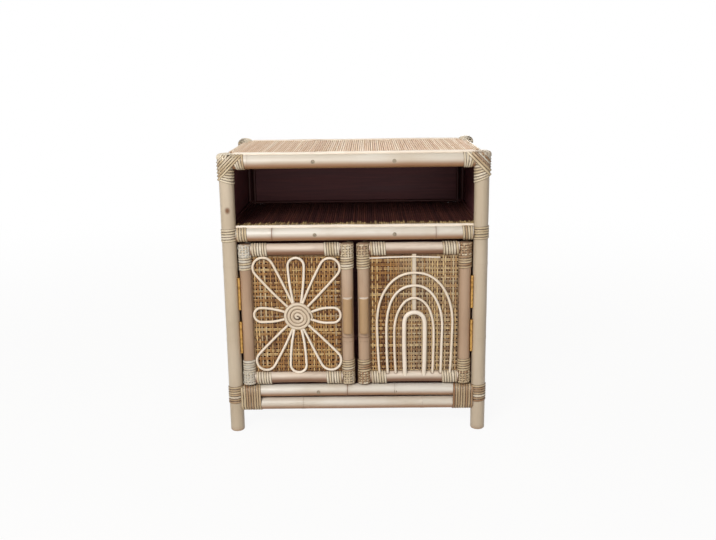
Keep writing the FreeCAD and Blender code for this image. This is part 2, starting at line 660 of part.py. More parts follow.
class Door:
    """One door: four poles, bindings, woven panel, pull, strike and hinge leaves."""

    def __init__(self, side):
        self.side = side
        self.sign = SIDES[side]
        self.centre_x = self.sign * DOOR_X
        self.hinges = Hinges(self.sign)
        self.bindings = Bindings()
        self.rail_holes = []

    def at(self, across, forward, height):
        """Point from the door's centre line, ahead of the pole axes, at a height."""
        return V(self.centre_x + across, FRONT_Y - forward, height)

    def bind(self):
        """Windings at both ends of each stile and each rail."""
        stile_band = DOOR_POLE_D + DOOR_STILE_BAND
        rail_start = DOOR_R + WRAP_SPACE + WRAP_SEAT
        for across in (-STILE_HALF, STILE_HALF):
            inward = X * (-1 if across > 0 else 1)
            bottom = self.at(across, 0, DOOR_BOTTOM + DOOR_POLE_ROUNDING)
            top = self.at(across, 0, DOOR_TOP - DOOR_POLE_ROUNDING)
            self.bindings.wind(DOOR_R, bottom, Z, stile_band, Y)
            self.bindings.wind(DOOR_R, top, -Z, stile_band, Y)
            for height in (DOOR_BOTTOM_RAIL_Z, DOOR_TOP_RAIL_Z):
                edge = self.at(across, 0, height) + inward * rail_start
                self.bindings.wind(DOOR_R, edge, inward, DOOR_RAIL_BAND, Y)
        PARTS[f"{self.side}_door_bindings"] = self.bindings.compound()

    def pole_spaces(self, clearance):
        """Space of the four poles, with a clearance all round."""
        radius = DOOR_R + clearance
        spaces = []
        for across in (-STILE_HALF, STILE_HALF):
            spaces.append(rod(self.at(across, 0, DOOR_BOTTOM), self.at(across, 0, DOOR_TOP), radius))
        for height in (DOOR_BOTTOM_RAIL_Z, DOOR_TOP_RAIL_Z):
            spaces.append(rod(self.at(-STILE_HALF, 0, height), self.at(STILE_HALF, 0, height), radius))
        return spaces

    def build_panel(self):
        """Woven panel between the poles, notched round the windings."""
        panel = box(self.centre_x - STILE_HALF, self.centre_x + STILE_HALF, FRONT_Y - PANEL_FRONT,
                    FRONT_Y - PANEL_FRONT + PANEL_THICKNESS, DOOR_BOTTOM_RAIL_Z, DOOR_TOP_RAIL_Z)
        spaces = self.pole_spaces(SEAT) + self.bindings.spaces
        PARTS[f"{self.side}_door_weave"] = largest(cut_away(panel, spaces))

    def build_poles(self):
        """Stiles and rails with their flats and holes; the rails stop on the windings of the stiles."""
        hinge_across = self.sign * STILE_HALF
        stops = []
        for role, across in (("hinge_stile", hinge_across), ("meeting_stile", -hinge_across)):
            foot = self.at(across, 0, DOOR_BOTTOM)
            head = self.at(across, 0, DOOR_TOP)
            stile = rounded_rod(foot, head, DOOR_R, DOOR_POLE_ROUNDING)
            if role == "hinge_stile":
                stile = cut_away(stile, self.hinges.stile_flats + self.hinges.door_screws.cutters)
            PARTS[f"{self.side}_door_{role}"] = stile
            stops.append(rod(foot, head, DOOR_R + WRAP_SPACE))
        for role, height in (("bottom_rail", DOOR_BOTTOM_RAIL_Z), ("top_rail", DOOR_TOP_RAIL_Z)):
            rail = rod(self.at(-STILE_HALF, 0, height), self.at(STILE_HALF, 0, height), DOOR_R)
            rail = largest(cut_away(rail, stops))
            PARTS[f"{self.side}_door_{role}"] = cut_away(rail, [self.strike()] + self.rail_holes)

    def strike_across(self):
        """Place of the strike, counted from the meeting stile."""
        return -self.sign * (STILE_HALF - CATCH_FROM_STILE)

    def strike(self):
        """Steel strike let into the back of the bottom rail."""
        x = self.centre_x + self.strike_across()
        back = FRONT_Y + DOOR_R
        return box(x - STRIKE_WIDTH / 2, x + STRIKE_WIDTH / 2, back - STRIKE_THICKNESS, back,
                   DOOR_BOTTOM_RAIL_Z - STRIKE_HEIGHT / 2, DOOR_BOTTOM_RAIL_Z + STRIKE_HEIGHT / 2)

    def catch(self):
        """Magnet block on the cupboard floor, just behind the strike."""
        x = self.centre_x + self.strike_across()
        front = FRONT_Y + DOOR_R + CATCH_GAP
        return box(x - CATCH_WIDTH / 2, x + CATCH_WIDTH / 2, front, front + CATCH_DEPTH,
                   board_top("base"), DOOR_BOTTOM_RAIL_Z + CATCH_RISE)

    def pull(self):
        """Half-round pull on the front of the meeting stile."""
        across = -self.sign * STILE_HALF
        start = self.at(across, DOOR_R, DOOR_Z - PULL_LENGTH / 2)
        end = self.at(across, DOOR_R, DOOR_Z + PULL_LENGTH / 2)
        grip = rounded_rod(start, end, PULL_R, PULL_ROUNDING)
        stile = rod(self.at(across, 0, DOOR_BOTTOM), self.at(across, 0, DOOR_TOP), DOOR_R)
        return grip.cut(stile)

    def build(self):
        """Make every piece of the door except its bindings and the cane ornament."""
        self.build_panel()
        self.build_poles()
        PARTS[f"{self.side}_door_strike"] = self.strike()
        PARTS[f"{self.side}_door_pull"] = self.pull()
        PARTS[f"{self.side}_door_hinge_leaves"] = Part.makeCompound(self.hinges.door_leaves)
        PARTS[f"{self.side}_door_hinge_screws"] = Part.makeCompound(self.hinges.door_screws.solids)


def cane_limit(half, pole_reach, forward):
    """How far from the door's centre a cane may reach before it meets a pole of a given reach."""
    reach = pole_reach + CANE_R + SEAT + PETAL_EDGE_GAP
    return half + DOOR_R - math.sqrt(max(reach**2 - forward**2, 0.0))


def petal_edges(door, angle, distance, end_r, base_r, spread, forward):
    """Two straight legs from the coiled centre and the round end that they run into."""
    out = V(math.cos(angle), 0, math.sin(angle))
    aside = V(-math.sin(angle), 0, math.cos(angle))
    centre = door.at(0, forward, FLOWER_Z)
    base = math.sqrt(base_r**2 - spread**2)
    run = distance - base
    lean = math.atan2(spread, run)
    reach = math.hypot(run, spread)
    touch = math.asin(end_r / reach) - lean
    top = out * (distance + end_r * math.sin(-touch)) + aside * (end_r * math.cos(touch))
    low = out * (distance + end_r * math.sin(-touch)) - aside * (end_r * math.cos(touch))
    start = out * base + aside * spread
    finish = out * base - aside * spread
    tip = out * (distance + end_r)
    turn_out = math.pi / 4 - touch / 2
    shoulder = out * (distance + end_r * math.sin(turn_out)) + aside * (end_r * math.cos(turn_out))
    lower_shoulder = out * (distance + end_r * math.sin(turn_out)) - aside * (end_r * math.cos(turn_out))
    return [
        straight(centre + start, centre + top),
        Part.Arc(centre + top, centre + shoulder, centre + tip).toShape(),
        Part.Arc(centre + tip, centre + lower_shoulder, centre + low).toShape(),
        straight(centre + low, centre + finish),
    ]


def build_flower(door):
    """Eight cane loops round a coiled centre, all lying on the woven panel of the left door."""
    spiral_r = SPIRAL_CANE_D / 2
    step = (SPIRAL_CANE_D + SPIRAL_GAP) / 2
    forward = PANEL_FRONT + CANE_SEAT + spiral_r
    edges = []
    point = door.at(SPIRAL_START_R, forward, FLOWER_Z)
    for index in range(SPIRAL_HALF_TURNS):
        way = 1 if index % 2 else -1
        end = point + X * (way * 2 * (SPIRAL_START_R + index * step))
        edges.append(half_turn(point, end, Z * -way))
        point = end
    rim = SPIRAL_START_R + (SPIRAL_HALF_TURNS - 1) * step + step / 2 + spiral_r
    gap = least_gap(edges, SPIRAL_HALF_TURNS // 2, V(0, 0, 0), V(0, 0, 0)) - SPIRAL_CANE_D
    PARTS["flower_spiral"] = cane(f"spiral, least gap {gap:.2f} mm", edges, spiral_r)
    forward = PANEL_FRONT + CANE_SEAT + CANE_R
    base_r = rim + SEAT + CANE_R
    corner = math.radians(PETAL_CORNER_ANGLE)
    tight = min(corner, math.pi / 2 - corner)
    spread = base_r * math.sin(tight / 2 - (CANE_D + PETAL_LEG_GAP) / (2 * base_r))
    side_stop = cane_limit(PANEL_HALF, DOOR_R, forward)
    corner_side = cane_limit(PANEL_HALF, DOOR_R + WRAP, forward) - PETAL_CORNER_R
    loops = [(0.0, side_stop - PETAL_SIDE_R, PETAL_SIDE_R), (math.pi, side_stop - PETAL_SIDE_R, PETAL_SIDE_R)]
    for way, half in ((1, PANEL_TOP - FLOWER_Z), (-1, FLOWER_Z - PANEL_BOTTOM)):
        upright_stop = cane_limit(half, DOOR_R, forward)
        corner_upright = cane_limit(half, DOOR_R + WRAP, forward) - PETAL_CORNER_R
        corner_distance = min(corner_side / math.cos(corner), corner_upright / math.sin(corner))
        loops.append((way * math.pi / 2, upright_stop - PETAL_UPRIGHT_R, PETAL_UPRIGHT_R))
        for slant in (way * corner, math.pi - way * corner):
            loops.append((slant, corner_distance, PETAL_CORNER_R))
    petals = []
    for angle, distance, end_r in loops:
        edges = petal_edges(door, angle, distance, end_r, base_r, spread, forward)
        petals.append(cane("petal", edges, CANE_R))
    PARTS["flower_petals"] = Part.makeCompound(petals)


def crown_edges(left, right, rise):
    """Two arcs on each side, tangent where they meet, over a span: the top of an arch."""
    half = (right - left).Length / 2
    centre = (left + right) / 2
    apex = centre + Z * rise
    if abs(rise - half) < half / 100:
        return [half_turn(left, right, Z)]
    top_r = half**2 / rise
    side_r = (half**2 + (rise - top_r)**2 - top_r**2) / (2 * (half - top_r))
    top_centre = apex - Z * top_r
    side_centre = right - X * side_r
    away = (top_centre - side_centre).normalize() * (1 if side_r > top_r else -1)
    meet = side_centre + away * side_r
    side_way = X + away
    top_way = Z + away
    side_middle = side_centre + side_way.normalize() * side_r
    top_middle = top_centre + top_way.normalize() * top_r

    def mirrored(point):
        return V(2 * centre.x - point.x, point.y, point.z)

    return [
        Part.Arc(left, mirrored(side_middle), mirrored(meet)).toShape(),
        Part.Arc(mirrored(meet), mirrored(top_middle), apex).toShape(),
        Part.Arc(apex, top_middle, meet).toShape(),
        Part.Arc(meet, side_middle, right).toShape(),
    ]


def arch_edges(door, half, height, rise, inset, forward):
    """Feet in the bottom rail, gently bowed legs and the crown; also the feet's points and directions."""
    foot_z = DOOR_BOTTOM_RAIL_Z + math.sqrt(max(DOOR_R**2 - forward**2, 0.0))
    spring_z = PANEL_BOTTOM + height - rise
    fall = spring_z - foot_z
    leg_r = (inset**2 + fall**2) / (2 * inset)
    lean = math.asin(fall / leg_r)
    left = door.at(-half, forward, spring_z)
    right = door.at(half, forward, spring_z)
    feet = []
    legs = []
    for spring, inward in ((left, 1), (right, -1)):
        foot = spring + V(inward * inset, 0, -fall)
        bow = spring + V(inward * leg_r * (1 - math.cos(lean / 2)), 0, -leg_r * math.sin(lean / 2))
        down = V(inward * math.sin(lean), 0, -math.cos(lean))
        feet.append((foot, down))
        legs.append((foot, bow, spring, foot + down * ARCH_FOOT_DEPTH))
    first, second = legs
    edges = [straight(first[3], first[0]), Part.Arc(*first[:3]).toShape()]
    edges += crown_edges(left, right, rise)
    edges += [Part.Arc(second[2], second[1], second[0]).toShape(), straight(second[0], second[3])]
    return edges, feet


def build_rainbow(door):
    """Three thin arches over a thick core arch, with a flat spine from the top rail to the core."""
    core_r = CORE_CANE_D / 2
    spine_forward = PANEL_FRONT + CANE_SEAT + SPINE_THICKNESS
    forward = spine_forward + CANE_SEAT + CANE_R
    outer_half = PANEL_HALF - ARCH_SIDE_GAP
    outer_height = PANEL_TOP - PANEL_BOTTOM - ARCH_TOP_GAP
    core_height = outer_height - CORE_ARCH_DROP
    arches = []
    for place in (0.0, ARCH_INNER_PLACE, ARCH_MIDDLE_PLACE, 1.0):
        half = CORE_ARCH_HALF + place * (outer_half - CORE_ARCH_HALF)
        height = core_height + place * (outer_height - core_height)
        if place > 0:
            radius, plane, rise, inset = CANE_R, forward, height * (1 - ARCH_SPRING), ARCH_FOOT_INSET
        else:
            radius, plane, rise, inset = core_r, PANEL_FRONT + CANE_SEAT + core_r, half, CORE_FOOT_INSET
        edges, feet = arch_edges(door, half, height, rise, inset, plane)
        arches.append(largest(cut_away(cane("arch", edges, radius), door.bindings.spaces)))
        for foot, down in feet:
            inside_band = any(space.isInside(foot, SEAT, True) for space in door.bindings.spaces)
            if not inside_band:
                mouth = foot - down * CORE_CANE_D
                end = foot + down * (ARCH_FOOT_DEPTH + HOLE_FIT)
                door.rail_holes.append(rod(mouth, end, radius + HOLE_FIT))
    PARTS["rainbow_arches"] = Part.makeCompound(arches)
    core_top = PANEL_BOTTOM + core_height + core_r + CANE_SEAT
    spine = box(door.centre_x - SPINE_WIDTH / 2, door.centre_x + SPINE_WIDTH / 2,
                FRONT_Y - spine_forward, FRONT_Y - spine_forward + SPINE_THICKNESS, core_top, DOOR_TOP_RAIL_Z)
    PARTS["rainbow_spine"] = cut_away(spine, door.pole_spaces(SEAT))


def main():
    """Build every piece and write one file for each node."""
    drive_frame_screws()
    drive_batten_screws()
    poles = build_frame_poles()
    band_spaces = bind_frame()
    spaces = pole_spaces(SEAT) + band_spaces
    build_decks(spaces)
    build_walls(spaces)
    left = Door("left")
    right = Door("right")
    left.bind()
    right.bind()
    build_flower(left)
    build_rainbow(right)
    left.build()
    right.build()
    screws = list(FRAME_SCREWS.solids)
    for door in (left, right):
        post = f"post_front_{door.side}"
        poles[post] = cut_away(poles[post], door.hinges.post_flats + door.hinges.frame_screws.cutters)
        screws += door.hinges.frame_screws.solids
    for name, pole in poles.items():
        PARTS[name] = cut_away(pole, FRAME_SCREWS.cutters)
    hinges = (left.hinges, right.hinges)
    PARTS["hinge_frame_leaves"] = Part.makeCompound([leaf for hinge in hinges for leaf in hinge.frame_leaves])
    PARTS["hinge_pins"] = Part.makeCompound([pin for hinge in hinges for pin in hinge.pins])
    PARTS["frame_screws"] = Part.makeCompound(screws)
    PARTS["magnet_catches"] = Part.makeCompound([left.catch(), right.catch()])
    os.makedirs("parts", exist_ok=True)
    for name, shape in PARTS.items():
        shape.exportStep(f"parts/{name}.step")
        print(f"{name}: {len(shape.Solids)} solids, valid {shape.isValid()}")
    print(f"{len(PARTS)} nodes")


main()
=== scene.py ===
"""Looks of a rattan side table: an open shelf above a cupboard with a pair of woven doors.

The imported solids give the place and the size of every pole. Lengths here are millimetres until a mesh is
made, which is in metres, as the frame is. +Z is up and the doors face -Y.
"""
import logging
import math
from dataclasses import dataclass
from enum import Enum

import bpy
import numpy as np
from bpy.types import Material, Node, NodeSocket, NodeTree
from mathutils import Matrix, Vector


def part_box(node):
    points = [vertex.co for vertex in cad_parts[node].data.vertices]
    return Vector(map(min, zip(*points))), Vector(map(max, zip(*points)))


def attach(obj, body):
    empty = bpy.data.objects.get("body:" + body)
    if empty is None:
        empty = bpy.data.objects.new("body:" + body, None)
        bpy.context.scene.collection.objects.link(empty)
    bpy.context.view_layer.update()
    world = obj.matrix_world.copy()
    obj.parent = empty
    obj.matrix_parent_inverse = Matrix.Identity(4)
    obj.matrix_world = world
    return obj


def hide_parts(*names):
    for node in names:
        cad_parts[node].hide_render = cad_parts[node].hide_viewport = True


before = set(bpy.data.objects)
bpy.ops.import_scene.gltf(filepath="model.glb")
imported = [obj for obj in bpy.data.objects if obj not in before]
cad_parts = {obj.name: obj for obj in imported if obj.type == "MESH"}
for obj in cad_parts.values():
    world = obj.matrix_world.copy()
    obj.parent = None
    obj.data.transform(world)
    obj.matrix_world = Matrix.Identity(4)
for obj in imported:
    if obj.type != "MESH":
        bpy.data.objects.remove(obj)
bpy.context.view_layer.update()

LOG = logging.getLogger("side_table")
MM = 0.001
RIGHT = np.array((1.0, 0.0, 0.0))
BACK = np.array((0.0, 1.0, 0.0))
UP = np.array((0.0, 0.0, 1.0))
FRONT = -BACK
PHOTO_WIDTH = 716.0
# One value for a whole cane, or one for each of its points
Shares = np.ndarray | float


class Body(Enum):
    """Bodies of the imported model."""

    CABINET = "cabinet"
    LEFT_DOOR = "left_door"
    RIGHT_DOOR = "right_door"


class Side(Enum):
    """Left or right, with the sign of X there."""

    LEFT = -1
    RIGHT = 1

    @property
    def word(self) -> str:
        """The side's name as the nodes use it."""
        return self.name.lower()

    @property
    def body(self) -> Body:
        """The door body on this side."""
        return Body[f"{self.name}_DOOR"]


class Slot(Enum):
    """Material slots of the record."""

    POLE = "rattan_pole"
    DOOR_POLE = "door_pole"
    BINDING = "binding_cane"
    PEELED = "peeled_cane"
    WEAVE = "core_weave"
    MAT = "cane_strip_mat"
    BOARD = "dark_board"
    BRASS = "hinge_brass"
    STEEL = "screw_steel"
    PLASTIC = "catch_plastic"


def node_box(node: str) -> tuple[np.ndarray, np.ndarray]:
    """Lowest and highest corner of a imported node.

    Args:
        node: Name of the node.

    Returns:
        Both corners in millimetres.
    """
    low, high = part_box(node)
    return np.array(low) / MM, np.array(high) / MM


def unit(vectors: np.ndarray) -> np.ndarray:
    """Vectors of length one.

    Args:
        vectors: One vector, or rows of vectors.

    Returns:
        The same directions with length one.
    """
    return vectors / np.linalg.norm(vectors, axis=-1, keepdims=True)


def smooth_step(values: np.ndarray, low: float, high: float) -> np.ndarray:
    """Soft step from 0 at low to 1 at high.

    Args:
        values: Numbers to map.
        low: Where the step starts.
        high: Where the step ends.

    Returns:
        Values from 0 to 1.
    """
    share = np.clip((values - low) / (high - low), 0.0, 1.0)
    return share * share * (3.0 - 2.0 * share)


def linear(code: str) -> tuple[float, float, float, float]:
    """Linear colour of an sRGB hex value.

    Args:
        code: Six hex digits after a hash sign.

    Returns:
        Red, green, blue and alpha for a colour socket.
    """
    parts = [int(code[i:i + 2], 16) / 255.0 for i in (1, 3, 5)]
    flat = [p / 12.92 if p <= 0.04045 else ((p + 0.055) / 1.055) ** 2.4 for p in parts]
    return (flat[0], flat[1], flat[2], 1.0)


def add_node(tree: NodeTree, kind: str, settings: dict | None = None, inputs: dict | None = None) -> Node:
    """Add a node with its settings and links.

    Args:
        tree: Node tree that gets the node.
        kind: Blender's name of the node type.
        settings: Properties of the node.
        inputs: Socket names or numbers, each with a value or with the output that feeds it.

    Returns:
        The new node.
    """
    node = tree.nodes.new(kind)
    for name, value in (settings or {}).items():
        setattr(node, name, value)
    for name, value in (inputs or {}).items():
        if isinstance(value, NodeSocket):
            tree.links.new(value, node.inputs[name])
        else:
            node.inputs[name].default_value = value
    return node


def new_tree(name: str) -> tuple[Material, NodeTree]:
    """A material with an empty node tree.

    Args:
        name: Name of the material.

    Returns:
        The material and its tree.
    """
    material = bpy.data.materials.new(name)
    material.use_nodes = True
    material.node_tree.nodes.clear()
    return material, material.node_tree


class Finish:
    """What the finishes share: a sheen that varies from place to place, over a fine relief."""

    roughness: float
    relief: float

    BUMP = 0.7
    SHEEN_STEP = (0.0, 1.0)
    SHEEN_SPREAD: tuple[float, float]

    def surface(self, tree: NodeTree, colour: NodeSocket, sheen: NodeSocket,
                height: NodeSocket, inputs: dict) -> None:
        """Build the shader and the output.

        Args:
            tree: Node tree that gets the nodes.
            colour: Colour of the surface.
            sheen: Pattern that the roughness follows.
            height: Pattern that the relief follows.
            inputs: Further sockets of the shader, each with its value.
        """
        roughness = add_node(tree, "ShaderNodeMapRange", inputs={
            "Value": sheen, "From Min": self.SHEEN_STEP[0], "From Max": self.SHEEN_STEP[1],
            "To Min": self.roughness + self.SHEEN_SPREAD[0],
            "To Max": self.roughness + self.SHEEN_SPREAD[1]})
        bump = add_node(tree, "ShaderNodeBump", inputs={
            "Height": height, "Strength": self.BUMP, "Distance": self.relief * MM})
        shader = add_node(tree, "ShaderNodeBsdfPrincipled", inputs={
            "Base Color": colour, "Roughness": roughness.outputs[0], "Normal": bump.outputs[0], **inputs})
        add_node(tree, "ShaderNodeOutputMaterial", inputs={"Surface": shader.outputs[0]})


@dataclass(frozen=True)
class CaneFinish(Finish):
    """Rattan, split or whole, whose fibres run along each cane.

    The colours go from the palest canes to the deepest ones. The scar colour is for growth rings, and for
    the painted shade of holes. The shade colour is for dark fibres and dirt at a post's foot, and for
    painted
    shade: under a level pole, at a strip's edges and in grooves, where canes lie on the weave or run under
    the frame, and at a pull's bottom end. The stain is for what is stained, weathered or bleached, for the
    pale front ends of the shelf strips, and for painted shade on a pole's side that faces into the cupboard
    and on the filler. Fibre and blotch are widths in millimetres. Real fibres are about 0.2 mm wide: they
    are drawn coarser, so that they show.
    """

    name: str
    pale: str
    middle: str
    deep: str
    scar: str
    shade: str
    stain: str = "#2b1917"
    fibre: float = 0.5
    fibre_share: float = 0.35
    blotch: float = 26.0
    blotch_share: float = 0.5
    roughness: float = 0.42
    relief: float = 0.10
    gloss: float = 0.4

    IOR = 1.5
    FIBRE_RUN = 70.0
    BLOTCH_RUN = 2.6
    SPECK = (1.1, 3.2)
    STREAK = (2.6, 120.0)
    SPECK_SHARE = 0.35
    MIDDLE_STEP = (0.0, 0.55)
    DEEP_STEP = (0.5, 1.0)
    BLOTCH_STEP = (0.45, 0.72)
    STREAK_STEP = (0.5, 0.75)
    FIBRE_STEP = (0.52, 0.78)
    SPECK_STEP = (0.68, 0.8)
    SCAR_STEP = (0.25, 0.5)
    SHEEN_STEP = (0.3, 0.75)
    SHEEN_SPREAD = (-0.06, 0.14)

    def make(self) -> Material:
        """Build the material.

        Returns:
            A material that reads the grain and tone attributes of a cane mesh.
        """
        material, tree = new_tree(self.name)
        grain = add_node(tree, "ShaderNodeAttribute", {"attribute_name": "grain"})
        tone = add_node(tree, "ShaderNodeAttribute", {"attribute_name": "tone"})
        part = add_node(tree, "ShaderNodeSeparateColor", inputs={"Color": tone.outputs["Color"]})

        def noise(across: float, along: float, detail: float) -> NodeSocket:
            """Noise with grains of the given millimetres across and along the cane."""
            place = add_node(tree, "ShaderNodeVectorMath", {"operation": "MULTIPLY"},
                             {0: grain.outputs["Vector"], 1: (1 / across, 1 / across, 1 / along)})
            made = add_node(tree, "ShaderNodeTexNoise", inputs={
                "Vector": place.outputs[0], "Scale": 1.0, "Detail": detail, "Roughness": 0.6})
            return made.outputs[0]

        def spread(value: NodeSocket, low: float, high: float, top: float = 1.0) -> NodeSocket:
            """Part of a value's range, stretched to run from 0 to top."""
            made = add_node(tree, "ShaderNodeMapRange", {"interpolation_type": "SMOOTHSTEP"}, {
                "Value": value, "From Min": low, "From Max": high, "To Max": top})
            return made.outputs[0]

        def mix(share: NodeSocket, under: object, over: object) -> NodeSocket:
            """One colour over another by a share."""
            made = add_node(tree, "ShaderNodeMix", {"data_type": "RGBA"}, {0: share, 6: under, 7: over})
            return made.outputs[2]

        fibres = noise(self.fibre, self.fibre * self.FIBRE_RUN, 3.0)
        blotches = noise(self.blotch, self.blotch * self.BLOTCH_RUN, 3.0)
        specks = noise(*self.SPECK, 2.0)
        streaks = noise(*self.STREAK, 2.0)
        colour = mix(spread(part.outputs[0], *self.MIDDLE_STEP), linear(self.pale), linear(self.middle))
        colour = mix(spread(part.outputs[0], *self.DEEP_STEP), colour, linear(self.deep))
        colour = mix(spread(blotches, *self.BLOTCH_STEP, self.blotch_share), colour, linear(self.deep))
        colour = mix(spread(streaks, *self.STREAK_STEP, self.blotch_share), colour, linear(self.middle))
        colour = mix(spread(fibres, *self.FIBRE_STEP, self.fibre_share), colour, linear(self.shade))
        colour = mix(spread(specks, *self.SPECK_STEP, self.SPECK_SHARE), colour, linear(self.scar))
        colour = mix(part.outputs[2], colour, linear(self.shade))
        rough_scar = add_node(tree, "ShaderNodeMath", {"operation": "MULTIPLY"}, {
            0: part.outputs[1], 1: spread(blotches, *self.SCAR_STEP)})
        colour = mix(rough_scar.outputs[0], colour, linear(self.scar))
        colour = mix(tone.outputs["Alpha"], colour, linear(self.stain))
        self.surface(tree, colour, fibres, fibres, {"IOR": self.IOR, "Specular IOR Level": self.gloss})
        return material


@dataclass(frozen=True)
class BoardFinish(Finish):
    """Plywood under a dark stain: broad, soft figure that runs level, with a thin sheen."""

    name: str
    dark: str
    light: str
    figure: float = 9.0
    figure_run: float = 160.0
    roughness: float = 0.5
    relief: float = 0.15
    gloss: float = 0.3

    BUMP = 0.4
    FIGURE_STEP = (0.35, 0.75)
    SHEEN_SPREAD = (-0.1, 0.15)

    def make(self) -> Material:
        """Build the material.

        Returns:
            A material that reads object coordinates.
        """
        material, tree = new_tree(self.name)
        place = add_node(tree, "ShaderNodeTexCoord")
        scaled = add_node(tree, "ShaderNodeVectorMath", {"operation": "MULTIPLY"}, {
            0: place.outputs["Object"],
            1: (1 / (self.figure_run * MM), 1 / (self.figure_run * MM), 1 / (self.figure * MM))})
        figure = add_node(tree, "ShaderNodeTexNoise", inputs={
            "Vector": scaled.outputs[0], "Scale": 1.0, "Detail": 5.0, "Distortion": 0.6})
        share = add_node(tree, "ShaderNodeMapRange", {"interpolation_type": "SMOOTHSTEP"}, {
            "Value": figure.outputs[0], "From Min": self.FIGURE_STEP[0], "From Max": self.FIGURE_STEP[1]})
        colour = add_node(tree, "ShaderNodeMix", {"data_type": "RGBA"}, {
            0: share.outputs[0], 6: linear(self.dark), 7: linear(self.light)})
        self.surface(tree, colour.outputs[2], figure.outputs[0], figure.outputs[0],
                     {"Specular IOR Level": self.gloss})
        return material


@dataclass(frozen=True)
class HardwareFinish(Finish):
    """Metal, plastic or putty: a ground colour with soft patches of tarnish or dust and fine scuffs.

    Real scuffs are finer: they are drawn coarser, so that they show.
    """

    name: str
    ground: str
    tarnish: str
    metallic: float
    roughness: float
    patch: float = 6.0
    scuff: float = 0.6
    relief: float = 0.05

    BUMP = 0.3
    PATCH_STEP = (0.42, 0.7)
    PATCH_SHARE = 0.85
    SHEEN_STEP = (0.3, 0.7)
    SHEEN_SPREAD = (-0.08, 0.16)

    def make(self) -> Material:
        """Build the material.

        Returns:
            A material that reads object coordinates.
        """
        material, tree = new_tree(self.name)
        place = add_node(tree, "ShaderNodeTexCoord")
        patches = add_node(tree, "ShaderNodeTexNoise", inputs={
            "Vector": place.outputs["Object"], "Scale": 1 / (self.patch * MM), "Detail": 4.0})
        scuffs = add_node(tree, "ShaderNodeTexNoise", inputs={
            "Vector": place.outputs["Object"], "Scale": 1 / (self.scuff * MM), "Detail": 2.0})
        share = add_node(tree, "ShaderNodeMapRange", {"interpolation_type": "SMOOTHSTEP"}, {
            "Value": patches.outputs[0], "From Min": self.PATCH_STEP[0], "From Max": self.PATCH_STEP[1],
            "To Max": self.PATCH_SHARE})
        colour = add_node(tree, "ShaderNodeMix", {"data_type": "RGBA"}, {
            0: share.outputs[0], 6: linear(self.ground), 7: linear(self.tarnish)})
        self.surface(tree, colour.outputs[2], patches.outputs[0], scuffs.outputs[0],
                     {"Metallic": self.metallic})
        return material


# Whole rattan pole, washed and sanded: pale straw skin, satin, with painted shade in tan under its rails,
# and a dark stain for the battens, also painted shade on the poles' sides that face into the cupboard and
# on the filler
POLE_CANE = CaneFinish("rattan_pole_sanded", "#dad4ca", "#c4b5a0", "#b09e84", "#6d4526", "#9c6f4a",
                       stain="#3d1f21", fibre=0.9, fibre_share=0.2, blotch=34.0, blotch_share=0.3,
                       roughness=0.34, gloss=0.5)
# Thinner rattan pole with its skin on: pinkish tan, satin, with painted shade in brown under its rails
DOOR_CANE = CaneFinish("rattan_pole_skin_on", "#ddcfbf", "#b0947b", "#9a7c63", "#5f3d24", "#784d2e",
                       stain="#ad8c63", fibre=0.9, fibre_share=0.2, blotch=30.0, blotch_share=0.35,
                       roughness=0.38, gloss=0.5)
# Split binding cane: cream skin outside, brown at its edges as painted shade between the wraps, and a grey
# weathered side
BINDING_CANE = CaneFinish("rattan_peel_split", "#e6dbc6", "#cbb896", "#95704f", "#5a452c", "#4a2f1c",
                          stain="#c3c1ba", fibre=0.5, fibre_share=0.25, blotch=16.0, blotch_share=0.35,
                          roughness=0.36)
# Round core cane, peeled and steamed to bend: cream and matt, faintly pink, with a grey sanded side
PEELED_CANE = CaneFinish("rattan_core_peeled", "#f3e8da", "#e6d6c1", "#d0b99d", "#9a774f", "#94704f",
                         stain="#cdc2b0", fibre=0.6, fibre_share=0.2, blotch=20.0, blotch_share=0.3,
                         roughness=0.5)
# Flat core strips, smoked and woven: cream, golden or brown from strip to strip, with dark pores
WEAVE_CANE = CaneFinish("rattan_core_woven", "#dab880", "#a3733c", "#613a1a", "#361f10", "#38200d",
                        stain="#c8b797", fibre=0.35, fibre_share=0.45, blotch=18.0, blotch_share=0.4,
                        roughness=0.5)
# Flat strips of the top deck, shaved: pinkish tan with a few cream ones
MAT_CANE = CaneFinish("rattan_strip_shaved", "#f4dfbf", "#e6c39b", "#d6aa7f", "#7a5638", "#ab8159",
                      fibre=0.5, fibre_share=0.3, blotch=24.0, blotch_share=0.3, roughness=0.45, gloss=0.12)
# The same strips in a dark copy inside the shelf, which is painted shade, pale at their front ends
SHELF_CANE = CaneFinish("rattan_strip_stained", "#6e3f34", "#542d29", "#3f2021", "#241211", "#241112",
                        stain="#f6d99a", fibre=0.5, fibre_share=0.4, blotch=24.0, blotch_share=0.4,
                        roughness=0.5)
# Putty over countersunk screw heads: grey-brown and matt
PUTTY = HardwareFinish("wood_putty_filled", "#9c8f7c", "#776a5b", 0.0, 0.7, patch=2.5)
# Thin plywood under a plum-brown stain
STAINED_PLY = BoardFinish("plywood_stained", "#65393d", "#774749")
# Hinge brass, tumbled and aged; steel screws as sold; catches moulded in brown polypropylene
BRASS = HardwareFinish("brass_aged", "#cda15c", "#8a6230", 1.0, 0.36)
STEEL = HardwareFinish("steel_dull", "#8d8984", "#5f5851", 1.0, 0.42, patch=3.0)
BROWN_PLASTIC = HardwareFinish("polypropylene_moulded", "#4a352a", "#5c463a", 0.0, 0.45)


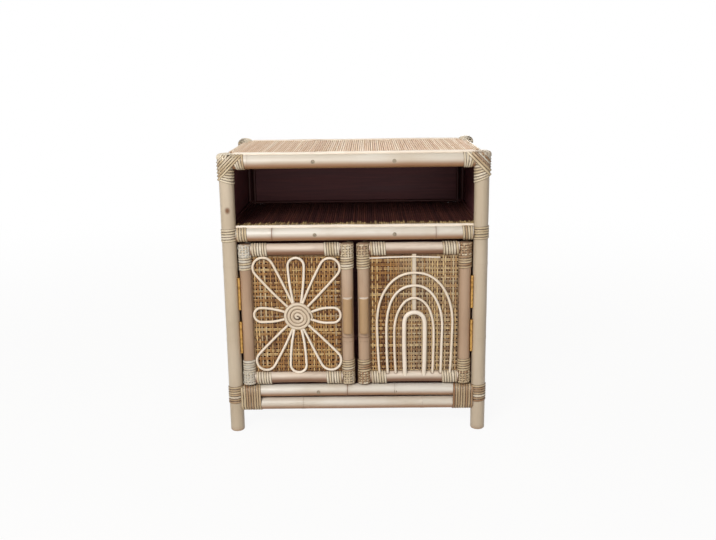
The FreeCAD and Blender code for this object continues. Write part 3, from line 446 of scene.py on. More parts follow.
class CaneMesh:
    """Canes swept into one mesh, with the coordinates and tones that the cane finishes read.

    Each cane takes its grain from a place of its own, up to a shift away. Edges above the crease angle, in
    degrees, stay sharp.
    """

    GRAIN_SHIFT = (900.0, 9000.0)
    CREASE = 42.0
    LEAST_KNOTS = 4
    SPARE_KNOTS = 3

    def __init__(self, name: str, seed: int) -> None:
        """Start an empty mesh.

        Args:
            name: Name of the piece.
            seed: Seed of everything that is uneven in it.
        """
        self.name = name
        self.random = np.random.default_rng(seed)
        self.points: list[np.ndarray] = []
        self.grain: list[np.ndarray] = []
        self.tone: list[np.ndarray] = []
        self.faces: list[tuple[int, ...]] = []
        self.count = 0

    def wander(self, places: np.ndarray, reach: float, step: float) -> np.ndarray:
        """Slow uneven offsets along a cane.

        Args:
            places: Distances along the cane.
            reach: Usual size of an offset.
            step: Distance over which the offset changes.

        Returns:
            One offset for each place.
        """
        span = float(places[-1] - places[0])
        knots = max(self.LEAST_KNOTS, int(abs(span) / step) + self.SPARE_KNOTS)
        values = self.random.normal(0.0, reach, knots)
        # The last place stays just below the last knot
        share = (places - places[0]) / (span if span else 1.0) * (knots - 1.001)
        low = share.astype(int)
        part = smooth_step(share - low, 0.0, 1.0)
        return values[low] * (1 - part) + values[low + 1] * part

    def sweep(self, path: np.ndarray, out: np.ndarray, profile: np.ndarray, *, size: Shares = 1.0,
              edge: Shares = 0.0, mark: Shares = 0.0, stain: Shares = 0.0,
              strand: Shares | None = None) -> np.ndarray:
        """Sweep a closed profile along a path and close its ends.

        Args:
            path: Points of the centre line, as n rows.
            out: Direction of the profile's height, one or n rows.
            profile: Outline as m rows of (across, height), anticlockwise.
            size: Factor on the profile, one or n.
            edge: Share of the shade colour, one, m, n by 1, or n by m.
            mark: Share of the scar colour, likewise.
            stain: Share of the stain, likewise.
            strand: Tone from 0 to 1, one or n; random if left out.

        Returns:
            The swept points as n by m rows, which may still be moved.
        """
        n, m = len(path), len(profile)
        along = unit(np.gradient(path, axis=0))
        across = unit(np.cross(np.broadcast_to(out, path.shape), along))
        height = np.cross(along, across)
        factor = np.broadcast_to(np.asarray(size, float), (n,))[:, None]
        points = (path[:, None, :] + across[:, None, :] * (factor * profile[:, 0])[..., None]
                  + height[:, None, :] * (factor * profile[:, 1])[..., None])
        run = np.concatenate(([0.0], np.cumsum(np.linalg.norm(np.diff(path, axis=0), axis=1))))
        grain = np.empty((n, m, 3))
        grain[..., 0] = profile[:, 0] + self.random.uniform(0, self.GRAIN_SHIFT[0])
        grain[..., 1] = profile[:, 1]
        grain[..., 2] = run[:, None] + self.random.uniform(0, self.GRAIN_SHIFT[1])
        tone = np.empty((n, m, 4))
        if strand is None:
            strand = self.random.uniform()
        tone[..., 0] = np.broadcast_to(np.asarray(strand, float), (n,))[:, None]
        tone[..., 1] = mark
        tone[..., 2] = edge
        tone[..., 3] = stain
        self._add(points, grain, np.clip(tone, 0.0, 1.0))
        return points

    def _add(self, points: np.ndarray, grain: np.ndarray, tone: np.ndarray) -> None:
        """Add rings of points as a closed tube.

        Args:
            points: n rings of m points.
            grain: Cane coordinates of the points.
            tone: Tones of the points.
        """
        n, m = points.shape[:2]
        index = self.count + np.arange(n * m).reshape(n, m)
        nearer = index[:-1]
        farther = index[1:]
        quads = np.stack((nearer, np.roll(nearer, -1, 1), np.roll(farther, -1, 1), farther), -1)
        self.faces += [tuple(quad) for quad in quads.reshape(-1, 4).tolist()]
        self.faces.append(tuple(index[0, ::-1].tolist()))
        self.faces.append(tuple(index[-1].tolist()))
        self.points.append(points)
        self.grain.append(grain.reshape(-1, 3))
        self.tone.append(tone.reshape(-1, 4))
        self.count += n * m

    def finish(self, body: Body, slot: Slot, material: Material, *nodes: str) -> None:
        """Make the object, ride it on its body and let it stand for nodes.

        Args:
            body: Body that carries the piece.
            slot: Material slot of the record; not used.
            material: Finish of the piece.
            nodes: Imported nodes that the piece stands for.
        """
        mesh = bpy.data.meshes.new(self.name)
        places = np.concatenate([p.reshape(-1, 3) for p in self.points]) * MM
        mesh.from_pydata(places.tolist(), [], self.faces)
        mesh.attributes.new("grain", "FLOAT_VECTOR", "POINT").data.foreach_set(
            "vector", np.concatenate(self.grain).astype(np.float32).ravel())
        mesh.attributes.new("tone", "FLOAT_COLOR", "POINT").data.foreach_set(
            "color", np.concatenate(self.tone).astype(np.float32).ravel())
        mesh.polygons.foreach_set("use_smooth", np.ones(len(mesh.polygons), bool))
        mesh.set_sharp_from_angle(angle=math.radians(self.CREASE))
        mesh.materials.append(material)
        piece = bpy.data.objects.new(self.name, mesh)
        bpy.context.scene.collection.objects.link(piece)
        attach(piece, body.value)
        if nodes:
            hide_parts(*nodes)
        LOG.info("%s: %d points on %s", self.name, self.count, body.value)


def circle(radius: float, sides: int) -> np.ndarray:
    """Round profile.

    Args:
        radius: Radius of the profile.
        sides: Number of points.

    Returns:
        Points, anticlockwise.
    """
    turn = np.linspace(0.0, 2 * math.pi, sides, endpoint=False)
    return np.stack((np.cos(turn), np.sin(turn)), -1) * radius


# A crowned and a flat strip in shares of their width and thickness, and the painted shade at each of their
# points, dark at the sides and bottom
CROWN = np.array(((-0.5, 0.0), (0.5, 0.0), (0.5, 0.5), (0.37, 0.82), (0.14, 1.0),
                  (-0.14, 1.0), (-0.37, 0.82), (-0.5, 0.5)))
CROWN_EDGE = np.array((0.8, 0.8, 1.0, 0.46, 0.0, 0.0, 0.46, 1.0))
FLAT_STRIP = np.array(((-0.5, -0.5), (0.5, -0.5), (0.5, 0.1), (0.26, 0.5), (-0.26, 0.5), (-0.5, 0.1)))
FLAT_EDGE = np.array((0.9, 0.9, 0.6, 0.0, 0.0, 0.6))
# Shade at the points of an ornament's round cane, dark where it lies on the weave
ROUND_SIDES = 14
ROUND_EDGE = 0.55 * smooth_step(-circle(1.0, ROUND_SIDES)[:, 1], -0.35, 0.5)


@dataclass(frozen=True)
class Ring:
    """Growth ring of a pole, with its distance from the pole's middle and its darkness."""

    place: float
    dark: float


@dataclass(frozen=True)
class Scar:
    """Small scar or hole in the skin of a pole, at a place along its axis and facing a direction."""

    place: float
    facing: tuple[float, float, float]
    half_length: float
    half_width: float
    dark: float


@dataclass(frozen=True)
class Flat:
    """Flat seat of a hinge leaf: its X, both its ends along the pole, and the sign of X that it faces."""

    plane: float
    low: float
    high: float
    facing: int


@dataclass
class Pole:
    """A rattan pole that stands for one straight solid pole of the frame.

    The bow moves its middle, the inside is the direction of its side that takes the dark stain as painted
    shade, the rounding is the radius of its ends' edges, and the shade says from where to where round a
    level pole its underside takes the painted shade in brown.
    """

    node: str
    run: np.ndarray
    rings: tuple[Ring, ...] = ()
    scars: tuple[Scar, ...] = ()
    bow: np.ndarray | None = None
    inside: np.ndarray | None = None
    rounding: float = 0.0
    flats: tuple[Flat, ...] = ()
    tone: float = 0.3
    shade: tuple[float, float] = (-0.62, 0.3)
    sides: int = 48
    spacing: float = 6.0

    RING_STEPS = (-6.0, -3.6, -2.0, -1.2, -0.6, 0.0, 0.6, 1.2, 2.0, 3.6, 6.0)
    SCAR_STEPS = np.linspace(-1.4, 1.4, 9)
    ROUND_STEPS = 6
    FLAT_STEP = 0.05
    LEAST_STEP = 0.04
    SWELL = 0.45
    SWELL_REACH = 4.0
    GROOVE = 0.4
    GROOVE_REACH = 0.7
    LINE_REACH = 0.8
    HALO_REACH = 4.5
    HALO_SHARE = 0.22
    UNEVEN = (0.09, 60.0)
    TONE_DRIFT = (0.06, 90.0)
    LIGHT_SIDE = (0.0, -0.35, 0.94)
    SHADE_SHARE = 0.95
    INSIDE_STEP = (-0.05, 0.2)
    FLOOR_NEAR = 1.0
    FOOT_DIRT = 9.0
    FOOT_SHARE = 0.6

    @property
    def upright(self) -> bool:
        """Whether the pole stands."""
        return abs(self.run[2]) > 0.5

    def centre_line(self) -> tuple[np.ndarray, float, float]:
        """Middle point, half length and radius of the solid pole."""
        low, high = node_box(self.node)
        size = (high - low) / 2
        half = float(np.dot(size, self.run))
        radius = float(max(size * (1 - self.run)))
        return (low + high) / 2, half, radius

    def stations(self, half: float) -> np.ndarray:
        """Distances from the middle at which the pole has a ring of points.

        Args:
            half: Half of the pole's length.

        Returns:
            Rising distances.
        """
        even = np.linspace(-half, half, int(2 * half / self.spacing) + 1)
        middle = self.centre_line()[0]
        extra = [ring.place + step for ring in self.rings for step in self.RING_STEPS]
        for scar in self.scars:
            extra += list(scar.place - middle @ self.run + self.SCAR_STEPS * scar.half_length)
        for flat in self.flats:
            for end in (flat.low, flat.high):
                extra += [end - self.FLAT_STEP, end + self.FLAT_STEP]
        if self.rounding:
            turn = np.linspace(0.0, math.pi / 2, self.ROUND_STEPS)[:-1]
            inset = self.rounding * (1 - np.sin(turn))
            even = even[np.abs(even) < half - self.rounding]
            extra += list(half - inset) + list(inset - half) + [half - self.rounding, self.rounding - half]
        places = np.unique(np.round(np.concatenate((even, np.array(extra))), 3))
        keep = np.concatenate(([True], np.diff(places) > self.LEAST_STEP))
        return places[keep & (np.abs(places) <= half + 1e-6)]

    def seat_leaves(self, plane: float, facing: int) -> None:
        """Give a standing pole the flat seats of the hinge leaves.

        Args:
            plane: X of the seats.
            facing: Sign of X that they face.
        """
        middle = self.centre_line()[0][2]
        self.flats = tuple(Flat(plane, low - middle, high - middle, facing) for low, high in leaf_heights())

    def build(self, mesh: CaneMesh) -> None:
        """Sweep the pole into a mesh.

        Args:
            mesh: Mesh that gets the pole.
        """
        middle, half, radius = self.centre_line()
        places = self.stations(half)
        path = middle + places[:, None] * self.run
        if self.bow is not None:
            path = path + (1 - (places / half) ** 2)[:, None] * self.bow
        swell = np.zeros_like(places)
        mark = np.zeros_like(places)
        for ring in self.rings:
            off = places - ring.place
            swell += self.SWELL * np.exp(-(off / self.SWELL_REACH) ** 2)
            swell -= self.GROOVE * np.exp(-(off / self.GROOVE_REACH) ** 2)
            line = np.exp(-(off / self.LINE_REACH) ** 2)
            halo = np.exp(-(off / self.HALO_REACH) ** 2)
            mark += ring.dark * line + self.HALO_SHARE * ring.dark * halo
        swell += mesh.wander(places, *self.UNEVEN)
        if self.rounding:
            depth = np.clip(np.abs(places) - (half - self.rounding), 0.0, self.rounding)
            swell -= self.rounding - np.sqrt(self.rounding ** 2 - depth ** 2)
        out = BACK if self.upright else UP
        across = unit(np.cross(out, self.run))
        profile = circle(radius, self.sides)
        facing = (across * profile[:, :1] + out * profile[:, 1:]) / radius
        edge = np.zeros(self.sides)
        # Painted shade: a level pole turns to the shade colour on the side that faces away from the light
        if not self.upright:
            edge = self.SHADE_SHARE * smooth_step(-facing @ np.array(self.LIGHT_SIDE), *self.shade)
        edge = np.broadcast_to(edge, (len(places), self.sides)).copy()
        if self.upright and middle[2] - half < self.FLOOR_NEAR:
            edge += self.FOOT_SHARE * (1 - smooth_step(places + half, 0.0, self.FOOT_DIRT))[:, None]
        stain = 0.0
        # Painted shade: the side that faces into the cupboard takes the dark stain
        if self.inside is not None:
            stain = smooth_step(facing @ self.inside, *self.INSIDE_STEP)
        marks = np.broadcast_to(mark[:, None], (len(places), self.sides)).copy()
        for scar in self.scars:
            turn = np.arccos(np.clip(facing @ unit(np.array(scar.facing)), -1, 1))
            away = turn * radius / scar.half_width
            tall = (places + middle @ self.run - scar.place) / scar.half_length
            marks += scar.dark * np.exp(-(tall[:, None] ** 2 + away[None, :] ** 2) ** 2)
        tones = self.tone + mesh.wander(places, *self.TONE_DRIFT)
        points = mesh.sweep(path, out, profile, size=1 + swell / radius, edge=edge, mark=marks, stain=stain,
                            strand=tones)
        for flat in self.flats:
            seat = (places > flat.low) & (places < flat.high)
            trim = np.maximum if flat.facing < 0 else np.minimum
            points[seat, :, 0] = trim(points[seat, :, 0], flat.plane)

    def make(self, body: Body, slot: Slot, material: Material, seed: int) -> None:
        """Make the pole as a piece of its own.

        Args:
            body: Body that carries the pole.
            slot: Material slot of the record.
            material: Finish of the pole.
            seed: Seed of its unevenness.
        """
        mesh = CaneMesh(f"{self.node}_cane", seed)
        self.build(mesh)
        mesh.finish(body, slot, material, self.node)


@dataclass(frozen=True)
class BindingStrip:
    """Split cane that binds the joints."""

    width: float = 4.9
    thickness: float = 1.5
    pitch: float = 5.4
    seat: float = 0.15
    slack: float = 0.2
    steps: int = 40

    def turns(self, length: float) -> int:
        """Whole turns that cover a length of pole."""
        return max(2, round(length / self.pitch))


STRIP = BindingStrip()
# Height of a lashing's inner face over the poles, with a band under it
LAYER = 1.8


@dataclass(frozen=True)
class Joint:
    """Two poles that meet at right angles, as a lashing over them sees it.

    The upright runs down or up from the corner along one direction and the rail along the other.
    """

    corner: np.ndarray
    upright: np.ndarray
    rail: np.ndarray
    face: np.ndarray
    upright_r: float
    rail_r: float


class Binding(CaneMesh):
    """Strips wound round poles and lashed over their joints."""

    TONE_SPREAD = 0.12
    TONE_DRIFT = (0.17, 0.6)
    GREY_DRIFT = (0.5, 0.3)
    SLACK_TURNS = 0.5
    END_TURNS = 0.07
    END_SINK = 0.8
    PALE_DROP = 0.8
    PALE_TURNS = 0.4
    HALF_TURN_STEPS = 16
    HATCH_ANGLES = (-66.0, -40.0, -13.0, 13.0, 40.0, 66.0)
    HATCH_SWAY = 2.0
    HATCH_DRIFT = (0.3, 12.0)
    HATCH_SIZE = (3.9, 1.1)
    HATCH_START = 0.3
    HATCH_STEPS = 8
    HATCH_LIFT = 0.72
    HATCH_WAVE = 0.42
    HATCH_END = 0.8
    HATCH_SINK = 1.8
    LASH_THICKNESS = STRIP.thickness * 0.85
    LASH_STEPS = 42
    LASH_PASSES = 3
    LASH_SIDE = 0.25
    LASH_TOP = 0.82
    LASH_EASE = 0.985
    TAIL_REACH = (0.5, 3.0)
    TAIL_SINK = 0.9
    TIP_STEP = (2.0, 8.0)
    CAP_WIDTH = 5.4
    CAP_DROP = 8.0
    CAP_SEAT = 0.3
    CAP_EDGE = 0.12
    CAP_STEPS = 33

    def _strand(self, turns: np.ndarray, tone: float) -> np.ndarray:
        """Tone along a strip, a little different at every turn."""
        own = self.random.uniform(-self.TONE_SPREAD, self.TONE_SPREAD)
        return tone + own + self.wander(turns, *self.TONE_DRIFT)

    def _climb(self, turns: np.ndarray) -> np.ndarray:
        """Uneven way of a strip's middle along its pole, from the start of the band."""
        even = STRIP.width / 2 + STRIP.pitch * (turns - 0.5)
        return even + self.wander(turns, STRIP.slack, self.SLACK_TURNS)

    def wind(self, edge: np.ndarray, axis: np.ndarray, radius: float, length: float, hidden: np.ndarray, *,
             tone: float, grey: float = 0.0, tilt: np.ndarray | None = None,
             pale_turn: float | None = None) -> None:
        """Wind a band round one pole, with both ends on its hidden side.

        Args:
            edge: Point on the pole's axis where the band starts to show.
            axis: Direction in which the band climbs.
            radius: Radius of the pole.
            length: Length of pole that the band covers.
            hidden: Direction from the pole to its hidden side.
            tone: Usual tone of the strip.
            grey: Share of the weathered colour.
            tilt: How far the first turn climbs towards a side; the last one lies straight.
            pale_turn: Turn that shows the strip's pale skin.
        """
        turns = STRIP.turns(length)
        turn = np.linspace(0.0, turns, turns * STRIP.steps + 1)
        side = np.cross(axis, hidden)
        angle = 2 * math.pi * turn[:, None]
        radial = np.cos(angle) * hidden + np.sin(angle) * side
        climb = self._climb(turn)
        if tilt is not None:
            climb += radial @ tilt * (1 - turn / turns)
        ends = np.exp(-(turn / self.END_TURNS) ** 2) + np.exp(-((turns - turn) / self.END_TURNS) ** 2)
        reach = radius + STRIP.seat - ends * STRIP.thickness * self.END_SINK
        path = edge + climb[:, None] * axis + reach[:, None] * radial
        tones = self._strand(turn, tone)
        if pale_turn is not None:
            tones = tones - self.PALE_DROP * np.exp(-((turn - pale_turn) / self.PALE_TURNS) ** 4)
        weathered = grey + self.wander(turn, self.GREY_DRIFT[0] * grey, self.GREY_DRIFT[1])
        self.sweep(path, radial, CROWN * (STRIP.width, STRIP.thickness), edge=CROWN_EDGE, strand=tones,
                   stain=np.clip(weathered, 0, 1)[:, None])

    def wind_pair(self, edge: np.ndarray, axis: np.ndarray, radius: float, length: float, span: float,
                  tone: float) -> None:
        """Wind a band round two poles, one above the other, from their back to their back.

        Args:
            edge: Point midway between both axes where the band starts to show.
            axis: Direction in which the band climbs.
            radius: Radius of each pole.
            length: Length of pole that the band covers.
            span: Distance between the axes.
            tone: Usual tone of the strip.
        """
        turns = STRIP.turns(length)
        steps = self.HALF_TURN_STEPS
        arc = np.linspace(math.pi / 2, -math.pi / 2, steps)
        over = np.stack((np.cos(arc), np.sin(arc)), -1)
        ring_out = np.concatenate((over, -over))
        lift = np.repeat((span / 2, -span / 2), steps)
        radial = np.tile(UP * ring_out[:, :1] + BACK * ring_out[:, 1:], (turns, 1))
        centre = np.tile(lift, turns)
        turn = np.arange(len(radial)) / (2.0 * steps)
        climb = self._climb(turn)
        reach = radius + STRIP.seat
        path = edge + climb[:, None] * axis + centre[:, None] * UP + reach * radial
        self.sweep(path, radial, CROWN * (STRIP.width, STRIP.thickness), edge=CROWN_EDGE,
                   strand=self._strand(turn, tone))

    def hatch(self, edge: np.ndarray, axis: np.ndarray, radius: float, length: float, face: np.ndarray,
              tone: float, grey: float) -> None:
        """Weave thin strips along a pole through the turns of its band.

        Args:
            edge: Point on the pole's axis where the band starts to show.
            axis: Direction in which the band climbs.
            radius: Radius of the pole.
            length: Length of the thin strips.
            face: Direction from the pole to the side that shows.
            tone: Usual tone of the strips.
            grey: Share of the weathered colour.
        """
        side = np.cross(axis, face)
        along = np.linspace(self.HATCH_START, length, int(length / STRIP.pitch * self.HATCH_STEPS))
        sunk = sum(np.exp(-((along - end) / self.HATCH_END) ** 2) for end in (along[0], along[-1]))
        for number, degrees in enumerate(self.HATCH_ANGLES):
            turn = math.radians(degrees + self.random.normal(0.0, self.HATCH_SWAY))
            radial = math.cos(turn) * face + math.sin(turn) * side
            wave = np.cos(math.pi * (along - STRIP.width / 2) / STRIP.pitch + math.pi * (number % 2))
            lift = STRIP.thickness * (self.HATCH_LIFT + self.HATCH_WAVE * wave)
            reach = radius + lift - self.HATCH_SINK * sunk
            path = edge + along[:, None] * axis + reach[:, None] * radial
            path = path + self.wander(along, *self.HATCH_DRIFT)[:, None] * side
            self.sweep(path, radial, CROWN * self.HATCH_SIZE, edge=CROWN_EDGE, stain=grey,
                       strand=self._strand(along, tone))

    def cap(self, top: np.ndarray, way: np.ndarray, radius: float, offset: float, rise: float, tone: float,
            grey: float) -> None:
        """Lay one strip over the head of a post, from its outer side down to the deck.

        Args:
            top: Middle of the post's end.
            way: Level direction from the outer side to the deck.
            radius: Radius of the post.
            offset: Distance of the strip from the post's axis.
            rise: Height of the strips' crown above the post's end.
            tone: Usual tone of the strip.
            grey: Share of the weathered colour.
        """
        aside = np.cross(UP, way)
        turn = np.linspace(0.0, math.pi, self.CAP_STEPS)[:, None]
        crown = self.CAP_SEAT + rise * (1 - (offset / radius) ** 2) * np.sin(turn) ** 2
        height = self.CAP_DROP * (np.sqrt(np.sin(turn)) - 1) + crown
        chord = math.sqrt(radius ** 2 - offset ** 2) + LAYER
        level = -np.sign(np.cos(turn)) * np.sqrt(np.abs(np.cos(turn))) * chord
        path = top + offset * aside + level * way + height * UP
        out = np.cross(unit(np.gradient(path, axis=0)), aside)
        if float(np.dot(out[len(out) // 2], UP)) < 0:
            out = -out
        self.sweep(path, out, CROWN * (self.CAP_WIDTH, self.LASH_THICKNESS), stain=grey,
                   edge=CROWN_EDGE * self.CAP_EDGE, strand=self._strand(np.linspace(0, 1, len(path)), tone))

    def lash(self, joint: Joint, offset: float, layer: float, top: float, *, reach: float,
             width: float = STRIP.width, tone: float = 0.3, grey: float = 0.0) -> None:
        """Lay one strip slantwise over a joint, with both ends sunk in.

        Args:
            joint: The poles and the face that shows.
            offset: Distance of the strip from the corner, towards the inside of the joint.
            layer: Height of the strip's inner face over the poles.
            top: Height over the corner, against the upright, at which the poles end.
            reach: Share of the way round the poles that the strip goes.
            width: Width of the strip.
            tone: Usual tone of the strip.
            grey: Share of the weathered colour.
        """
        slant = unit(joint.rail - joint.upright)
        inward = unit(joint.rail + joint.upright)
        upright_r = joint.upright_r + layer
        rail_r = joint.rail_r + layer
        root = math.sqrt(2.0)
        start = -offset - upright_r * root
        end = offset + min(rail_r, top) * root
        wave = np.linspace(-math.pi / 2, math.pi / 2, self.LASH_STEPS)
        along = (start + end) / 2 + (end - start) / 2 * np.sin(wave) * reach
        flat = joint.corner + inward * offset + slant * along[:, None]
        aside = (flat - joint.corner) @ joint.rail
        above = (flat - joint.corner) @ joint.upright
        upright_depth = np.sqrt(np.clip(upright_r ** 2 - aside ** 2, 0, None))
        rail_depth = np.sqrt(np.clip(rail_r ** 2 - above ** 2, 0, None))
        outer = np.maximum(upright_depth, rail_depth)
        depth = np.where(aside > -self.LASH_SIDE * upright_r, outer, upright_depth)
        depth = np.where(along > self.LASH_TOP * end, np.minimum(depth, rail_depth), depth)
        for _ in range(self.LASH_PASSES):
            depth[1:-1] = np.maximum((depth[:-2] + depth[2:]) / 2, depth[1:-1] * self.LASH_EASE)
        path = flat + joint.face * depth[:, None]
        tail = np.linspace(*self.TAIL_REACH, 3)[:, None]
        before = path[0] - joint.face * tail[::-1] + slant * tail[::-1] * self.TAIL_SINK
        after = path[-1] - joint.face * tail - slant * tail * self.TAIL_SINK
        path = np.concatenate((before, path, after))
        out = np.cross(unit(np.gradient(path, axis=0)), inward)
        if float(np.dot(out[len(out) // 2], joint.face)) < 0:
            out = -out
        order = np.arange(len(path), dtype=float)
        inner = smooth_step(np.minimum(order, order[::-1]), *self.TIP_STEP)
        self.sweep(path, out, CROWN * (width, self.LASH_THICKNESS), edge=CROWN_EDGE * inner[:, None],
                   stain=grey, strand=self._strand(np.linspace(0, 1, len(path)), tone))


@dataclass(frozen=True)
class Weave:
    """Open plain weave of flat core strips: single upright strips and pairs of level ones."""

    upright_pitch: float = 5.45
    upright_width: float = 3.2
    level_pitch: float = 9.1
    level_width: float = 2.6
    level_gap: float = 0.35
    thickness: float = 0.8
    lift: float = 0.62
    wander: float = 0.35
    bleached: float = 0.07
    rim: float = 8.0

    PLAIN_POINTS = [0, 1, 3, 4]
    BLEACH_STEP = (0.22, 0.48)
    BLEACH_SPREAD = (0.2, 1.3)
    BLEACH_SHARE = 0.55
    BLEACH_MOST = 0.85
    # Painted shadow along the border where the weave runs under the frame: where it starts and how dark it
    # gets
    RIM_START = 0.5
    RIM_SHARE = 0.92
    UPRIGHT_SPREAD = 0.08
    UPRIGHT_STEP = 40.0
    UPRIGHT_TONES = (1.2, 1.2)
    UPRIGHT_DRIFT = (0.14, 60.0)
    LEVEL_SPREAD = 0.07
    LEVEL_STEP = 50.0
    LEVEL_TONES = (1.2, 1.5)
    LEVEL_DRIFT = (0.14, 50.0)
    PAIR_SPREAD = 0.15

    def fill(self, mesh: CaneMesh, corner: np.ndarray, across: np.ndarray, width: float, height: float,
             fine: bool, grey: tuple[float, float] = (0.0, 0.0)) -> None:
        """Weave a rectangle.

        Args:
            mesh: Mesh that gets the strips.
            corner: Lower corner, in the middle of the weave's thickness.
            across: Direction of the rectangle's width.
            width: Width of the rectangle.
            height: Height of the rectangle.
            fine: Whether strips are rounded or plain.
            grey: Share of the bleached colour at the first and at the last upright strip.
        """
        out = np.cross(across, UP)
        uprights = round(width / self.upright_pitch)
        levels = round(height / self.level_pitch)
        columns = (np.arange(uprights) + 0.5) * width / uprights
        columns += mesh.random.normal(0, self.wander, uprights)
        rows = (np.arange(levels) + 0.5) * height / levels
        rows += mesh.random.normal(0, self.wander, levels)
        profile = FLAT_STRIP if fine else FLAT_STRIP[self.PLAIN_POINTS]
        edge = FLAT_EDGE if fine else FLAT_EDGE[self.PLAIN_POINTS]
        pair = self.level_width + self.level_gap / 2

        def bleach(places: np.ndarray) -> np.ndarray:
            """Share of the bleached colour of one strip at places across the weave."""
            share = grey[0] + (grey[1] - grey[0]) * smooth_step(places / width, *self.BLEACH_STEP)
            plain = self.BLEACH_SHARE * (mesh.random.uniform() < self.bleached)
            uneven = share * mesh.random.uniform(*self.BLEACH_SPREAD)
            return np.clip(plain + uneven, 0.0, self.BLEACH_MOST)[:, None]

        def shade(x: np.ndarray, z: np.ndarray) -> np.ndarray:
            """Share of the shade colour at places of a strip: painted shade at its edges, and a painted
            shadow along the border under the frame.
            """
            inward = np.minimum(np.minimum(x, width - x), np.minimum(z, height - z))
            dark = self.RIM_SHARE * (1 - smooth_step(inward, self.RIM_START, self.rim))
            return np.clip(edge + dark[:, None], 0.0, 1.0)

        for number, column in enumerate(columns):
            over = np.where((number + np.arange(levels)) % 2, 1.0, -1.0)
            along, depth = self._crossings(rows, over, pair, height, fine)
            drift = column + mesh.wander(along, self.wander, self.UPRIGHT_STEP)
            path = corner + drift[:, None] * across + along[:, None] * UP + depth[:, None] * out
            wide = self.upright_width * mesh.random.normal(1.0, self.UPRIGHT_SPREAD)
            rim = shade(drift, along)
            stain = bleach(drift) * (1 - rim)
            tones = mesh.random.beta(*self.UPRIGHT_TONES) + mesh.wander(along, *self.UPRIGHT_DRIFT)
            mesh.sweep(path, out, profile * (wide, self.thickness), edge=rim, stain=stain, strand=tones)
        for number, row in enumerate(rows):
            over = np.where((number + np.arange(uprights)) % 2, -1.0, 1.0)
            shared = mesh.random.beta(*self.LEVEL_TONES)
            along, depth = self._crossings(columns, over, self.upright_width / 2, width, fine)
            drift = row + mesh.wander(along, self.wander, self.LEVEL_STEP)
            for place in (-1, 1):
                aside = drift + place * (self.level_width + self.level_gap) / 2
                path = corner + along[:, None] * across + aside[:, None] * UP + depth[:, None] * out
                wide = self.level_width * mesh.random.normal(1.0, self.LEVEL_SPREAD)
                tones = np.clip(shared + mesh.random.normal(0, self.PAIR_SPREAD), 0, 1)
                tones = tones + mesh.wander(along, *self.LEVEL_DRIFT)
                rim = shade(along, aside)
                mesh.sweep(path, out, profile * (wide, self.thickness), edge=rim,
                           stain=bleach(along) * (1 - rim), strand=tones)

    def _crossings(self, places: np.ndarray, over: np.ndarray, half: float, length: float,
                   fine: bool) -> tuple[np.ndarray, np.ndarray]:
        """Where a strip bends as it crosses others.

        Args:
            places: Middles of the strips that it crosses.
            over: 1 where it passes in front, -1 where it passes behind.
            half: Half the width that it crosses.
            length: Length of the strip.
            fine: Whether each crossing has a point in its middle too.

        Returns:
            Distances along the strip and depths there.
        """
        steps = np.array((-0.85, 0.0, 0.85) if fine else (-0.8, 0.8)) * half
        crown = np.array((1.0, 1.12, 1.0) if fine else (1.0, 1.0)) * self.lift
        along = (places[:, None] + steps).ravel()
        depth = (over[:, None] * crown).ravel()
        return np.concatenate(([0.0], along, [length])), np.concatenate(([0.0], depth, [0.0]))


def leaf_heights() -> list[tuple[float, float]]:
    """Bottom and top of each hinge leaf on one post.

    Returns:
        Two pairs of heights, the lower hinge first.
    """
    points = np.array([v.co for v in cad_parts["hinge_frame_leaves"].data.vertices])[:, 2] / MM
    middle = (points.min() + points.max()) / 2
    halves = (points[points < middle], points[points > middle])
    return [(float(part.min()), float(part.max())) for part in halves]


